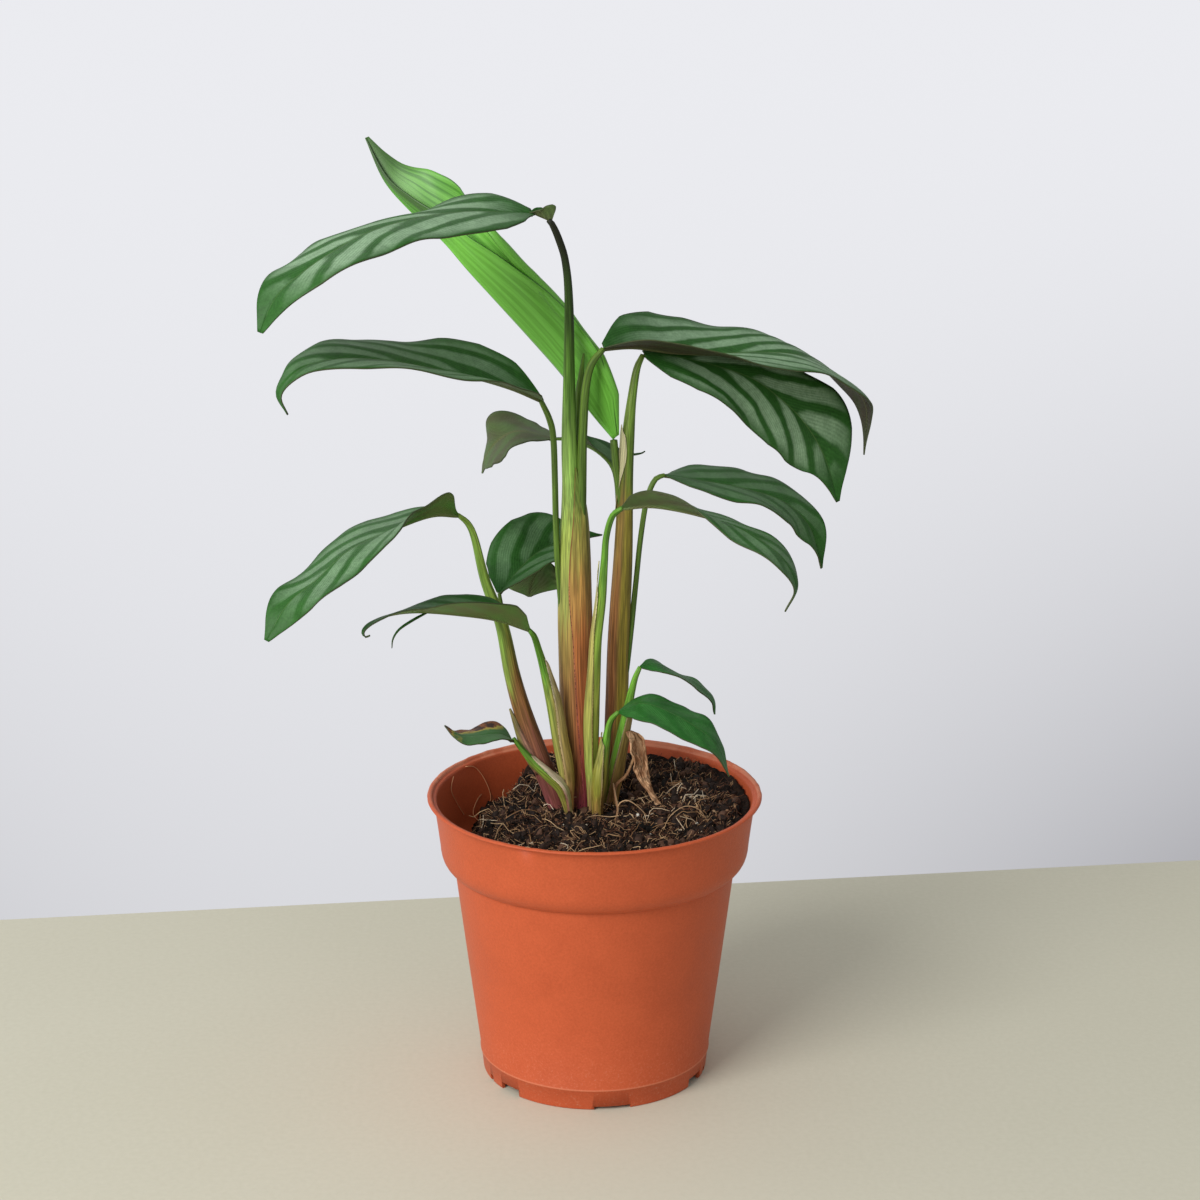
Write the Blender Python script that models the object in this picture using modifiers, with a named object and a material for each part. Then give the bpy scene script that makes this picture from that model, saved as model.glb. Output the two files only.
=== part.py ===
"""Potted calathea: a striped foliage plant in a small grower's pot, all in metres, Z up.

The origin is on the table under the middle of the pot. Every piece is one closed solid
with its own material, and neighbours stop 0.3 mm apart.
"""
import math

import bmesh
import bpy
import numpy as np
from mathutils import Matrix, Vector

MM = 0.001

# Driving sizes of the pot.
RIM_RADIUS = 55.0 * MM
POT_HEIGHT = 96.0 * MM
FOOT_RADIUS = 37.4 * MM
BODY_TOP_RADIUS = 46.4 * MM
BAND_FOOT = 77.6 * MM
WALL = 1.2 * MM
FLOOR_TOP = 6.5 * MM
TURN_STEPS = 48

# Driving sizes of the plant.
LEAF_THICKNESS = 0.45 * MM
CROWN_RADIUS = 12.2 * MM
CROWN_TOP = 86.4 * MM
SOIL_POCKET = 84.0

# Share of the half width that a blade has at each share of its length.
BLADE_S = (0.0, 0.03, 0.08, 0.18, 0.30, 0.44, 0.58, 0.71, 0.82, 0.90, 0.96, 1.0)
BLADE_W = (0.08, 0.24, 0.52, 0.83, 0.97, 1.00, 0.93, 0.77, 0.54, 0.30, 0.13, 0.04)

# One blade each: the midrib from its base to its tip (mm), the widest half width (mm),
# and how far each half tips at even steps along it (degrees). "far" is the half away
# from the front and rises, "near" is the half towards the front and drops.
LEAVES = {
    "leaf_upper_left": {
        "rib": [(-19, 0, 284), (-27, -6, 285), (-40, -17, 286), (-53, -28, 285), (-66, -40, 282),
                (-76, -50, 277), (-85, -58, 271), (-91, -63, 265), (-95, -66, 256)],
        "half": 17, "far": [45, 18, 6, 6, 14, 45], "near": [0, 9, 7, 0, -8, 10],
        "far_curl": [-30, -20], "near_curl": [20, 20], "far_wide": [1, 1, 1, 1.1, 1.2, 1.2],
        "near_wide": [1, 1, 1, 1.05, 1.45, 1.5]},
    "leaf_new": {
        "rib": [(5, 14, 211), (-2, 16, 219), (-10, 19, 231), (-21, 22, 243), (-40, 26, 263),
                (-49, 29, 273), (-60, 32, 283), (-68, 36, 292), (-74, 40, 305)],
        "half": 19, "far": [70, 78, 84, 82, 75, 70], "near": [-70, -73, -72, -66, -50, -30],
        "far_wide": [1.3, 1.1, 1.15, 1.1, 1.2, 1.2],
        "near_wide": [1.3, 1, 0.9, 0.66, 0.45, 0.4]},
    "leaf_mid_left": {
        "rib": [(-17, 0, 226), (-26, -7, 231), (-38, -16, 236), (-50, -26, 240), (-62, -38, 244),
                (-74, -48, 246), (-83, -55, 245), (-88, -59, 242), (-91, -60, 237), (-89, -58, 231)],
        "half": 16, "far": [65, 50, 35, 29, 20, 0], "near": [10, -1, 3, 6, 6, -10],
        "far_curl": [-20, -20], "near_curl": [10, -10], "far_wide": [1, 1, 1, 1, 0.95, 0.3],
        "near_wide": [1, 1, 1, 1, 0.8, 0.2]},
    "leaf_back_left": {
        "rib": [(-14, 30, 208), (-25, 34, 210), (-32, 38, 206), (-37, 42, 199), (-38, 43, 194)],
        "half": 12, "far": [0, -3, 12, 60, 42, 5], "near": [0, 8, 36, 42, 45, 70]},
    "leaf_back_right": {
        "rib": [(-3, 32.2, 208.8), (4, 36, 206), (11, 41, 201), (16, 46, 199)],
        "half": 9, "far": [-20, -20], "near": [40, 40]},
    "leaf_upper_right": {
        "rib": [(3, 8, 241), (13, 14, 242), (26, 22, 240), (41, 31, 239), (55, 39, 237),
                (69, 47, 233), (83, 55, 225), (91.5, 60, 217), (93.5, 61, 209), (92.5, 60, 197)],
        "half": 17, "far": [50, 38, 28, 28, 15, -10], "near": [-22, -19, -7, 14, 6, 20],
        "far_curl": [-20, -20], "near_curl": [0, 0, 10, 10], "far_wide": [1.2, 1.25, 1, 1, 1, 1.5],
        "near_wide": [1, 1, 1, 1, 1, 1.5]},
    "leaf_large_right": {
        "rib": [(16, 18, 238), (31, 26, 235), (50, 36, 228), (60, 42, 221), (70, 48, 211),
                (78, 52, 198), (83, 53, 182)],
        "half": 16, "far": [30, 45, 55, 68, 82, 95], "near": [46, 42, 60, 64, 68, 55],
        "far_curl": [-10, -10], "near_curl": [10, 10], "far_wide": [1.3, 1, 1, 1.2, 1.75, 1.3],
        "near_wide": [1.1, 0.9, 1, 1.15, 1.35, 0.9]},
    "leaf_right_mid": {
        "rib": [(23, 19, 198), (35, 25, 195), (50, 31, 191), (64, 37, 185), (73, 41, 175),
                (77, 43, 161)],
        "half": 13, "far": [10, 26, 32, 40, 70, 100], "near": [8, 11, 12, 29, 42, 17],
        "far_curl": [-20, -20], "near_curl": [10, 10]},
    "leaf_right_low": {
        "rib": [(9, -9, 193), (19, -16, 195), (33, -25, 194), (46, -34, 191), (56, -40, 185),
                (61, -43, 176), (58, -43, 168)],
        "half": 11, "far": [36, -1, -9, -7, -10, 5], "near": [-45, -42, -32, 0, -5, -12]},
    "leaf_lower_left": {
        "rib": [(-43, -10, 191), (-51, -20, 193), (-62, -32, 191), (-74, -43, 187), (-83, -52, 180),
                (-91, -58, 174), (-97, -62, 164)],
        "half": 14, "far": [25, -4, -2, -13, 0, 40], "near": [-60, -52, -22, -2, 0, 30],
        "far_wide": [0.8, 1, 1, 1, 1.1, 1.3], "near_wide": [0.9, 1, 1, 1.05, 1.4, 1.4]},
    "leaf_low_left": {
        "rib": [(-21, -8, 153), (-31, -16, 159.5), (-43, -26, 164), (-54, -34, 166.4),
                (-62, -40, 166.8), (-67.5, -43.5, 165), (-70.5, -45, 162), (-70.5, -45, 160.4),
                (-69, -44.6, 160)],
        "half": 11, "far": [55, 46, 30, 8, -18, -5], "near": [-44, -37, -30, -24, -18, -7],
        "wide": [1, 1.05, 1.1, 1, 0.5, 0.4]},
    "leaf_back_dark": {
        "rib": [(-31, 8, 161), (-26, 14, 166), (-20, 24, 170), (-12, 34, 172), (0, 46, 172)],
        "half": 14, "far": [23, 14, 48, 50, 60, 95], "near": [-30, -13, -5, -4, -6, -5]},
    "leaf_back_low": {
        "rib": [(-10, 23.5, 168), (-14.5, 20.5, 164), (-19.5, 17, 159.5), (-22.5, 14, 155.5)],
        "half": 10.5, "far": [-38, -25], "near": [50, 40], "far_wide": [1.3, 1.1]},
    "leaf_small_upper": {
        "rib": [(15, 5, 137), (21, 7, 137), (31, 11, 131), (39, 14, 124), (40, 14, 118)],
        "half": 6, "far": [16, 8, -8, 8, 12, 30], "near": [30, 14, 6, 18, 28, 55]},
    "leaf_small_lower": {
        "rib": [(8, -6, 125), (16, -10, 129), (27, -15, 126), (38, -19, 119), (43, -21, 108)],
        "half": 9, "far": [20, 8, -2, 8, -6, -19], "near": [33, 26, 17, 17, 0, -22]},
    "leaf_burnt": {
        "rib": [(-27, 0, 113), (-31, -3, 116.5), (-38, -8, 117.5), (-43, -11, 118.5),
                (-48, -13, 122.5)],
        "half": 6.5, "far": [40, 24, 10, 3, 3, 6], "near": [0, 2, 2, 10, 25, 45],
        "wide": [1.2, 1.1, 1, 1, 1.1, 1.2]},
    "leaf_dead": {
        "rib": [(13, 4, 115), (12, 4, 107), (15, 3, 100), (20, 1, 95)],
        "half": 3.5, "far": [20, 20], "near": [20, 20]},
}

# One stalk each: a run of (x, y, z, radius) in mm, from its foot to its top.
STEMS = {
    "stem_main": [(-2.5, 8, 86.8, 4.0), (-2.6, 8, 88.5, 4.1), (-4, 8, 95, 4.3), (-6, 8, 114, 4.4),
                  (-7, 8, 143, 4.4), (-7, 8, 172, 4.0), (-7, 8, 202, 3.3), (-7, 7, 232, 2.3),
                  (-8, 4, 257, 1.3), (-9, 3, 269, 1.2), (-12, 1.5, 277, 1.15), (-15, 0.5, 281.3, 1.0),
                  (-18, 0.1, 283.6, 0.8)],
    "stem_second": [(5, 10.2, 86.8, 2.4), (5, 10.3, 88.3, 2.4), (5.8, 12.5, 100, 2.9),
                    (6.5, 14, 118, 3.2), (8, 14, 147, 3.4), (10, 14, 184, 2.5), (11, 14, 211, 1.9),
                    (12, 15, 223, 1.4), (13.6, 16.6, 233, 1.15), (14.9, 17.4, 236.6, 0.8)],
    "stem_left": [(-8.5, 6.5, 86.8, 2.2), (-8.6, 6.5, 88, 2.2), (-11, 6.3, 94, 2.5), (-15, 5.5, 104, 2.7),
                  (-23, 2, 125, 2.7), (-30, -1, 153, 2.1), (-35, -3, 168, 1.6), (-38, -5, 182, 1.2),
                  (-40, -7, 187.5, 1.0), (-42.6, -9.6, 190.6, 0.7)],
    "stem_low_left": [(-4.5, 2, 86.8, 1.5), (-4.6, 2, 88, 1.5), (-8, 1.5, 101, 1.7),
                      (-12.2, 0.2, 117, 2.2), (-16, -1.5, 133, 1.7), (-17, -3, 143, 1.2),
                      (-19, -5.5, 149.5, 1.0), (-20.7, -7.6, 152.5, 0.7)],
    "stem_low_right": [(-0.5, 2, 86.8, 1.6), (0, 1, 100, 2.0), (0.3, 0.8, 116, 2.3), (1, -0.3, 145, 1.8),
                       (2, -2, 171, 1.3), (3, -4, 181, 1.1), (5.5, -6.5, 189.5, 1.0),
                       (8.1, -8.4, 192.6, 0.8)],
    "stem_small_lower": [(3, 1, 86.8, 1.2), (3, 0.9, 88, 1.2), (4.5, -2.5, 104, 1.3),
                         (4.2, -3.8, 117, 1.1), (5.3, -4.8, 122, 1.0), (7.3, -5.7, 124.6, 0.7)],
    "stem_small_upper": [(5.5, 6, 86.8, 1.1), (5.5, 6.1, 88, 1.1), (7.5, 7.3, 102, 1.3),
                         (10.5, 6.2, 120, 1.1), (13, 5.2, 132, 1.0), (14.4, 5, 136.4, 0.7)],
    "stem_burnt": [(-7.8, 1.2, 86.8, 1.1), (-7.9, 1.2, 88, 1.1), (-11, 0, 94, 1.3), (-15.5, -1, 103, 1.4),
                   (-22.5, -0.9, 110, 1.0), (-26.3, -0.3, 112.6, 0.7)],
    "petiole_mid_left": [(-12.4, 7, 140, 0.6), (-12.5, 6.5, 172, 1.0), (-12.4, 5.5, 186, 1.0),
                         (-12.6, 4, 199, 1.0), (-13, 3, 213, 1.0), (-14.2, 1.5, 219.5, 1.0),
                         (-16.3, 0.5, 225, 0.8)],
    "petiole_upper_right": [(-1.2, 7.5, 150, 0.7), (-1.4, 8, 172, 1.1), (-1.8, 8, 190, 1.2),
                            (-2.1, 7.5, 202, 1.2), (-2.2, 7, 213, 1.2), (-2, 7, 228, 1.2),
                            (-1, 7, 236, 1.2), (2.1, 7.7, 240.5, 0.9)],
    "petiole_right_mid": [(11.4, 15, 128, 0.7), (12.7, 15.5, 147, 0.9), (14, 16, 163, 0.9),
                          (15, 16, 177, 0.9), (17, 16.5, 190, 0.9), (19.7, 18, 196.6, 0.9),
                          (22.2, 18.7, 198, 0.7)],
    "petiole_new": [(5.9, 12.5, 182, 0.7), (6.2, 13.5, 192, 1.1), (6.3, 14, 203, 1.2),
                    (5.3, 14, 210.3, 0.9)],
    "petiole_back_left": [(7.8, 17, 186, 0.7), (7.1, 18.2, 196, 0.7), (5.5, 20.5, 201, 0.7),
                          (1.5, 24, 204.5, 0.6), (-3, 26.6, 206.6, 0.6), (-9, 29, 208, 0.6),
                          (-13.2, 29.9, 208.1, 0.5)],
    "petiole_back_right": [(-4, 13.5, 86.8, 1.0), (-4.2, 13.6, 92, 1.0), (-5, 14, 120, 0.9),
                           (-5.3, 15, 160, 0.9), (-5.3, 17.5, 184, 0.8), (-5, 24, 198, 0.7),
                           (-4.5, 29.5, 204.5, 0.7), (-3.9, 31.6, 208, 0.6)],
    "petiole_back_dark": [(-26.8, 4.5, 138, 0.7), (-29.5, 6.5, 152, 0.8), (-30.9, 7.7, 160.2, 0.6)],
    "petiole_back_low": [(-7.5, 14, 86.8, 0.9), (-7.6, 14.1, 92, 0.9), (-8.6, 15.5, 115, 0.9),
                         (-9.6, 19, 150, 0.8), (-10.6, 23.7, 165.4, 0.6)],
    "leaf_rolled": [(-4.9, 12.4, 190, 0.8), (-5, 12.3, 210, 1.2), (-5, 12.2, 224, 1.2),
                    (-4.2, 11.6, 232, 0.9), (-3.4, 11, 239, 0.3)],
    "sheath_left": [(-18.6, 3.2, 105, 0.4), (-20, 3, 108.5, 0.6), (-23.6, 1.8, 116, 0.7),
                    (-27.6, 1.2, 125, 0.3)],
    "stem_dead": [(8.5, 2.5, 86.8, 0.7), (8.5, 2.6, 88, 0.7), (9.3, 3.2, 96, 0.8), (10.8, 3.8, 104, 0.6)],
}

# Height of the soil (mm) every 15 degrees from +X, near the wall and half way in.
SOIL_WALL = (92, 92.5, 93, 93, 93, 93, 93, 93, 88, 81, 79.5, 79, 79, 79, 79, 80, 81, 82.5, 84, 85, 86, 88,
             90, 91)
SOIL_MID = (91, 91.5, 92, 92, 91.5, 91, 91, 91, 90, 86, 84, 83, 82, 81, 82, 83, 84, 85, 86, 86.5, 87, 88,
            89, 90)

# Openings in the foot ring: middle (degrees from the front towards +X), width, height.
NOTCHES = ((9, 18, 1.2), (61.5, 12, 3.0), (-47.5, 13, 2.6), (-64.5, 3, 2.2), (75, 3, 2.2),
           (125, 12, 2.6), (186, 18, 1.2), (243, 12, 2.6))

STALK_COLOR = (0.18, 0.24, 0.05)
STALK_COLORS = {"stem_main": (0.3, 0.16, 0.06), "stem_second": (0.28, 0.17, 0.06),
                "stem_left": (0.25, 0.13, 0.06), "leaf_rolled": (0.1, 0.28, 0.05),
                "sheath_left": (0.3, 0.15, 0.08), "stem_dead": (0.35, 0.25, 0.13)}
BLADE_COLOR = (0.05, 0.17, 0.07)
BLADE_COLORS = {"leaf_new": (0.12, 0.4, 0.05), "leaf_dead": (0.35, 0.2, 0.09),
                "leaf_burnt": (0.12, 0.16, 0.04)}


def material(name, color, roughness):
    mat = bpy.data.materials.new(name)
    mat.use_nodes = True
    shader = mat.node_tree.nodes["Principled BSDF"]
    shader.inputs["Base Color"].default_value = (*color, 1.0)
    shader.inputs["Roughness"].default_value = roughness
    return mat


def add_object(name, data, mat, collection):
    obj = bpy.data.objects.new(name, data)
    collection.objects.link(obj)
    if mat:
        obj.data.materials.append(mat)
    return obj


def mesh_object(name, verts, faces, mat, collection):
    mesh = bpy.data.meshes.new(name)
    mesh.from_pydata([tuple(v) for v in verts], [], faces)
    mesh.shade_smooth()
    return add_object(name, mesh, mat, collection)


def turned(name, profile, mat, collection, steps=TURN_STEPS):
    """A profile of (radius, height) turned about Z; it runs down the outer side."""
    edges = [(i, i + 1) for i in range(len(profile) - 1)]
    mesh = bpy.data.meshes.new(name)
    mesh.from_pydata([(r, 0.0, z) for r, z in profile], edges, [])
    obj = add_object(name, mesh, mat, collection)
    screw = obj.modifiers.new("turn", "SCREW")
    screw.use_smooth_shade = True
    screw.steps = steps
    screw.render_steps = steps
    screw.use_merge_vertices = True
    screw.merge_threshold = 0.00001
    return obj


def tube(name, path, mat, collection):
    """A stalk through (x, y, z, radius) points in mm: a straight foot, then a smooth run."""
    rows = [path[0], *smooth_path(path[1:], 3 * (len(path) - 2))]
    curve = bpy.data.curves.new(name, "CURVE")
    curve.dimensions = "3D"
    curve.bevel_depth = MM
    curve.bevel_resolution = 2
    curve.use_fill_caps = True
    spline = curve.splines.new("POLY")
    spline.points.add(len(rows) - 1)
    for point, (x, y, z, radius) in zip(spline.points, rows):
        point.co = (x * MM, y * MM, z * MM, 1.0)
        point.radius = radius
    return add_object(name, curve, mat, collection)


def smooth_path(points, count):
    """Even steps along a smooth run through the points."""
    p = np.array(points, float)
    p = np.vstack([2 * p[0] - p[1], p, 2 * p[-1] - p[-2]])
    run = []
    for a, b, c, d in zip(p[:-3], p[1:-2], p[2:-1], p[3:]):
        for t in np.arange(0, 1, 1 / 16):
            run.append(0.5 * (2 * b + (c - a) * t + (2 * a - 5 * b + 4 * c - d) * t ** 2
                              + (3 * b - a - 3 * c + d) * t ** 3))
    run.append(p[-2])
    run = np.array(run)
    step = np.linalg.norm(np.diff(run[:, :3], axis=0), axis=1)
    walked = np.concatenate([[0.0], np.cumsum(step)])
    even = np.linspace(0, walked[-1], count + 1)
    return np.stack([np.interp(even, walked, column) for column in run.T], axis=1)


def along(values, s):
    """Values given at even steps, read smoothly at the shares s."""
    v = np.array(values, float)
    x = np.linspace(0, 1, len(v))
    slope = np.gradient(v, x)
    i = np.clip(np.searchsorted(x, s, side="right") - 1, 0, len(v) - 2)
    h = x[i + 1] - x[i]
    t = (s - x[i]) / h
    rise = (3 - 2 * t) * t * t
    return (v[i] * (1 - rise) + v[i + 1] * rise
            + h * slope[i] * t * (1 - t) ** 2 - h * slope[i + 1] * t * t * (1 - t))


def blade_grid(leaf, rows, columns):
    """Points of a blade (mm): rows run from base to tip, columns from near to far edge."""
    rib = smooth_path(leaf["rib"], rows)
    s = np.linspace(0, 1, rows + 1)
    tangent = np.gradient(rib, axis=0)
    tangent /= np.linalg.norm(tangent, axis=1)[:, None]
    chord = rib[-1] - rib[0]
    level = np.array([-chord[1], chord[0], 0.0])
    level *= np.sign(level[1]) / np.linalg.norm(level)
    side = level - (tangent @ level)[:, None] * tangent
    side /= np.linalg.norm(side, axis=1)[:, None]
    face = np.cross(tangent, side)
    face *= np.sign(face[rows // 3, 2])
    width = leaf["half"] * np.interp(s, BLADE_S, BLADE_W) * along(leaf.get("wide", [1, 1]), s)
    grid = np.zeros((rows + 1, columns + 1, 3))
    for column in range(columns + 1):
        share = 2 * column / columns - 1
        half = "far" if share >= 0 else "near"
        tilt = np.radians(along(leaf[half], s))
        curl = np.radians(along(leaf.get(half + "_curl", [0, 0]), s))
        reach = width * along(leaf.get(half + "_wide", [1, 1]), s)
        grid[:, column] = rib + half_reach(side, face, reach, tilt, curl, share)
    return grid


def half_reach(side, face, width, tilt, curl, share, steps=8):
    """Step out from the midrib, turning by the curl on the way to the edge."""
    reach = np.zeros_like(side)
    for i in range(steps):
        angle = tilt + curl * abs(share) * (i + 0.5) / steps
        way = np.cos(angle)[:, None] * side + np.sin(angle)[:, None] * face
        reach += way * (share * width / steps)[:, None]
    return reach


def blade(name, leaf, mat, collection, rows=12, columns=4):
    grid = blade_grid(leaf, rows, columns) * MM
    across = columns + 1
    faces = []
    for r in range(rows):
        for c in range(columns):
            a = r * across + c
            faces.append((a, a + 1, a + across + 1, a + across))
    obj = mesh_object(name, grid.reshape(-1, 3), faces, mat, collection)
    skin = obj.modifiers.new("skin", "SOLIDIFY")
    skin.thickness = LEAF_THICKNESS
    skin.offset = 0.0
    return obj


def body_radius(z):
    """Outer radius of the tapered body at a height."""
    return FOOT_RADIUS + (BODY_TOP_RADIUS - FOOT_RADIUS) * z / (71.2 * MM)


def make_pot(mat, collection, cutters):
    top = POT_HEIGHT
    band = 50.6 * MM
    inner = [(0.0, FLOOR_TOP), (body_radius(FLOOR_TOP) - WALL - 0.8 * MM, FLOOR_TOP),
             (body_radius(8 * MM) - WALL, 8.0 * MM), (BODY_TOP_RADIUS - WALL, 70.8 * MM),
             (48.3 * MM, 75.3 * MM), (band - WALL, BAND_FOOT + 0.4 * MM), (51.5 * MM, top - 2.5 * MM),
             (52.1 * MM, top - 0.8 * MM), (53.0 * MM, top)]
    lip = [(RIM_RADIUS - 0.4 * MM, top), (RIM_RADIUS, top - 0.4 * MM), (RIM_RADIUS, top - 1.0 * MM),
           (RIM_RADIUS - 0.3 * MM, top - 1.3 * MM), (52.8 * MM, top - 1.4 * MM)]
    outer = [(band, BAND_FOOT), (band - 0.4 * MM, 76.2 * MM), (band - 1.3 * MM, 75.0 * MM),
             (BODY_TOP_RADIUS, 71.2 * MM), (body_radius(7.3 * MM), 7.3 * MM),
             (body_radius(7 * MM) + 0.15 * MM, 7.1 * MM), (body_radius(7 * MM) + 0.15 * MM, 6.9 * MM),
             (body_radius(6.7 * MM), 6.7 * MM)]
    foot = [(FOOT_RADIUS + 0.1 * MM, 0.4 * MM), (FOOT_RADIUS - 0.2 * MM, 0.0), (FOOT_RADIUS - WALL, 0.0),
            (FOOT_RADIUS - WALL + 0.4 * MM, 5.0 * MM), (0.0, 5.0 * MM)]
    pot = turned("pot", inner + lip + outer + foot, mat, collection)
    cut(pot, foot_notches(cutters))
    cut(pot, drain_holes(cutters))
    return pot


def cut(obj, cutter):
    step = obj.modifiers.new(cutter.name, "BOOLEAN")
    step.operation = "DIFFERENCE"
    step.solver = "EXACT"
    step.object = cutter


def foot_notches(cutters):
    """Boxes through the foot ring, open downwards."""
    bm = bmesh.new()
    for middle, width, height in NOTCHES:
        across = 2 * FOOT_RADIUS * math.tan(math.radians(width / 2))
        turn = Matrix.Rotation(math.radians(middle), 4, "Z")
        place = Matrix.Translation((0.0, -FOOT_RADIUS, (height / 2 - 1.0) * MM))
        size = Matrix.Diagonal((across, 7.0 * MM, (height + 2.0) * MM, 1.0))
        bmesh.ops.create_cube(bm, size=1.0, matrix=turn @ place @ size)
    return cutter_object("foot_notches", bm, cutters)


def drain_holes(cutters):
    """Round holes through the floor: one in the middle and six about it."""
    spots = [Vector((0.0, 0.0, FLOOR_TOP))]
    for i in range(6):
        spots.append(Matrix.Rotation(math.radians(30 + 60 * i), 3, "Z") @ Vector((24.0 * MM, 0.0, FLOOR_TOP)))
    bm = bmesh.new()
    for spot in spots:
        bmesh.ops.create_cone(bm, cap_ends=True, segments=16, radius1=3.0 * MM, radius2=3.0 * MM,
                              depth=5.0 * MM, matrix=Matrix.Translation(spot))
    return cutter_object("drain_holes", bm, cutters)


def cutter_object(name, bm, cutters):
    mesh = bpy.data.meshes.new(name)
    bm.to_mesh(mesh)
    bm.free()
    obj = add_object(name, mesh, None, cutters)
    obj.hide_render = True
    obj.display_type = "WIRE"
    return obj


def ring_height(table, angle):
    x = np.linspace(0, 360, len(table) + 1)
    return np.interp(math.degrees(angle) % 360, x, list(table) + [table[0]])


def make_soil(mat, collection, sectors=36):
    """Ball of peat: its top follows the two rings of heights, its side the pot's wall."""
    rings = [(13.0, 0.0, 0.0), (20.0, 0.0, 0.6), (30.0, 0.0, 1.0), (40.0, 0.5, 0.5), (46.0, 0.85, 0.15),
             (49.0, 1.0, 0.0)]
    side = [(48.7, 77.8), (48.0, 75.4), (44.8, 70.8), (36.6, 8.2), (36.1, 6.8)]
    verts = [(0.0, 0.0, SOIL_POCKET * MM)]
    for radius, wall, mid in rings:
        for i in range(sectors):
            a = 2 * math.pi * i / sectors
            height = SOIL_POCKET * (1 - wall - mid)
            height += ring_height(SOIL_WALL, a) * wall + ring_height(SOIL_MID, a) * mid
            verts.append((radius * MM * math.cos(a), radius * MM * math.sin(a), height * MM))
    for radius, height in side:
        for i in range(sectors):
            a = 2 * math.pi * i / sectors
            verts.append((radius * MM * math.cos(a), radius * MM * math.sin(a), height * MM))
    verts.append((0.0, 0.0, side[-1][1] * MM))
    faces = []
    loops = len(rings) + len(side)
    for i in range(sectors):
        j = (i + 1) % sectors
        faces.append((0, 1 + i, 1 + j))
        faces.append((len(verts) - 1, 1 + (loops - 1) * sectors + j, 1 + (loops - 1) * sectors + i))
        for k in range(loops - 1):
            a = 1 + k * sectors
            b = a + sectors
            faces.append((a + i, b + i, b + j, a + j))
    return mesh_object("soil", verts, faces, mat, collection)


def make_crown(mat, collection):
    """Low rootstock that the stalks stand on."""
    foot = (SOIL_POCKET + 0.3) * MM
    profile = [(0.0, CROWN_TOP), (CROWN_RADIUS - 1.2 * MM, CROWN_TOP), (CROWN_RADIUS, CROWN_TOP - 0.8 * MM),
               (CROWN_RADIUS, foot), (0.0, foot)]
    return turned("crown", profile, mat, collection, steps=24)


def build():
    for obj in list(bpy.data.objects):
        bpy.data.objects.remove(obj)
    plant = bpy.data.collections.new("potted_calathea")
    cutters = bpy.data.collections.new("cutters")
    bpy.context.scene.collection.children.link(plant)
    bpy.context.scene.collection.children.link(cutters)
    make_pot(material("pot", (0.55, 0.14, 0.06), 0.5), plant, cutters)
    make_soil(material("soil", (0.03, 0.02, 0.015), 0.95), plant)
    make_crown(material("crown", (0.25, 0.08, 0.08), 0.7), plant)
    for name, path in STEMS.items():
        tube(name, path, material(name, STALK_COLORS.get(name, STALK_COLOR), 0.5), plant)
    for name, leaf in LEAVES.items():
        blade(name, leaf, material(name, BLADE_COLORS.get(name, BLADE_COLOR), 0.45), plant)


build()
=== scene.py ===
"""Potted calathea: the looks of every piece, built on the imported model, in metres."""
import math

import bmesh
import bpy
import numpy as np
from mathutils import Matrix, Vector, noise


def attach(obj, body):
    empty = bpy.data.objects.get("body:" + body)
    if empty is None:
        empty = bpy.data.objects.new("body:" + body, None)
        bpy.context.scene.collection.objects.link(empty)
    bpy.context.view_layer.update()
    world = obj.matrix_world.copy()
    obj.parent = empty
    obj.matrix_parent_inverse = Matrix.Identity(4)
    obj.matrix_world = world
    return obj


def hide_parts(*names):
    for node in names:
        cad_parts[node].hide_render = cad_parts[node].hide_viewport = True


MM = 0.001
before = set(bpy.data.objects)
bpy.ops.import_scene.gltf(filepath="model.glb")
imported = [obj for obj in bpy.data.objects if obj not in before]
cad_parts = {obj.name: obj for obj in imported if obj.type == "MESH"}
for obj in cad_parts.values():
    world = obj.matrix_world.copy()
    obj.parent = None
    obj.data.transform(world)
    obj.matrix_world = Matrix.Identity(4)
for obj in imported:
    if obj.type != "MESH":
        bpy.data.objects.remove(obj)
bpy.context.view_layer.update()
scene = bpy.context.scene

# Camera: its place (m), its tilt up from straight down (degrees), its lens and sensor (mm).
CAMERA_PLACE = (0.0018, -0.7266, 0.3449)
CAMERA_TILT = 75.78
CAMERA_LENS = 69.77
CAMERA_SENSOR = 36.0

# Table top (m): its half width and its front, how far back it ends, and the slope of that end.
TABLE_SIDE = 2.5
TABLE_FRONT = -3.0
TABLE_END = 0.1565
TABLE_SLOPE = 0.136

# Pot (mm): outer radius at the foot and under the band, height of the band, wall, top and
# underside of the floor.
FOOT_RADIUS = 37.4
BODY_RADIUS = 46.4
BAND_Z = 71.2
WALL = 1.2
FLOOR_TOP = 6.5
FLOOR_UNDER = 5.0

# Inside of the pot from the band up: (radius, height) in mm.
BAND_INSIDE = ((45.2, 70.8), (46.4, 73.4), (48.3, 75.3), (49.3, 77.0), (49.5, 78.5), (50.6, 86.0))

# Lip of the pot: it is uneven above this height (mm), its front dips (mm), and it has a nick of
# this depth (mm) at this angle from +X (degrees).
LIP_Z = 94.4
LIP_DIP = 1.4
NICK_DEPTH = 0.7
NICK_ANGLE = 246

# Openings in the foot ring: middle (degrees from the front towards +X), width (degrees),
# height (mm).
NOTCHES = ((9, 18, 1.2), (61.5, 12, 3.0), (-47.5, 13, 2.6), (-64.5, 3, 2.2), (75, 3, 2.2),
           (125, 12, 2.6), (186, 18, 1.2), (243, 12, 2.6))

# Round holes through the pot's floor (mm): their radius, and how far six of them lie from the axis.
HOLE_RADIUS = 3
HOLE_RING = 24

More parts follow.
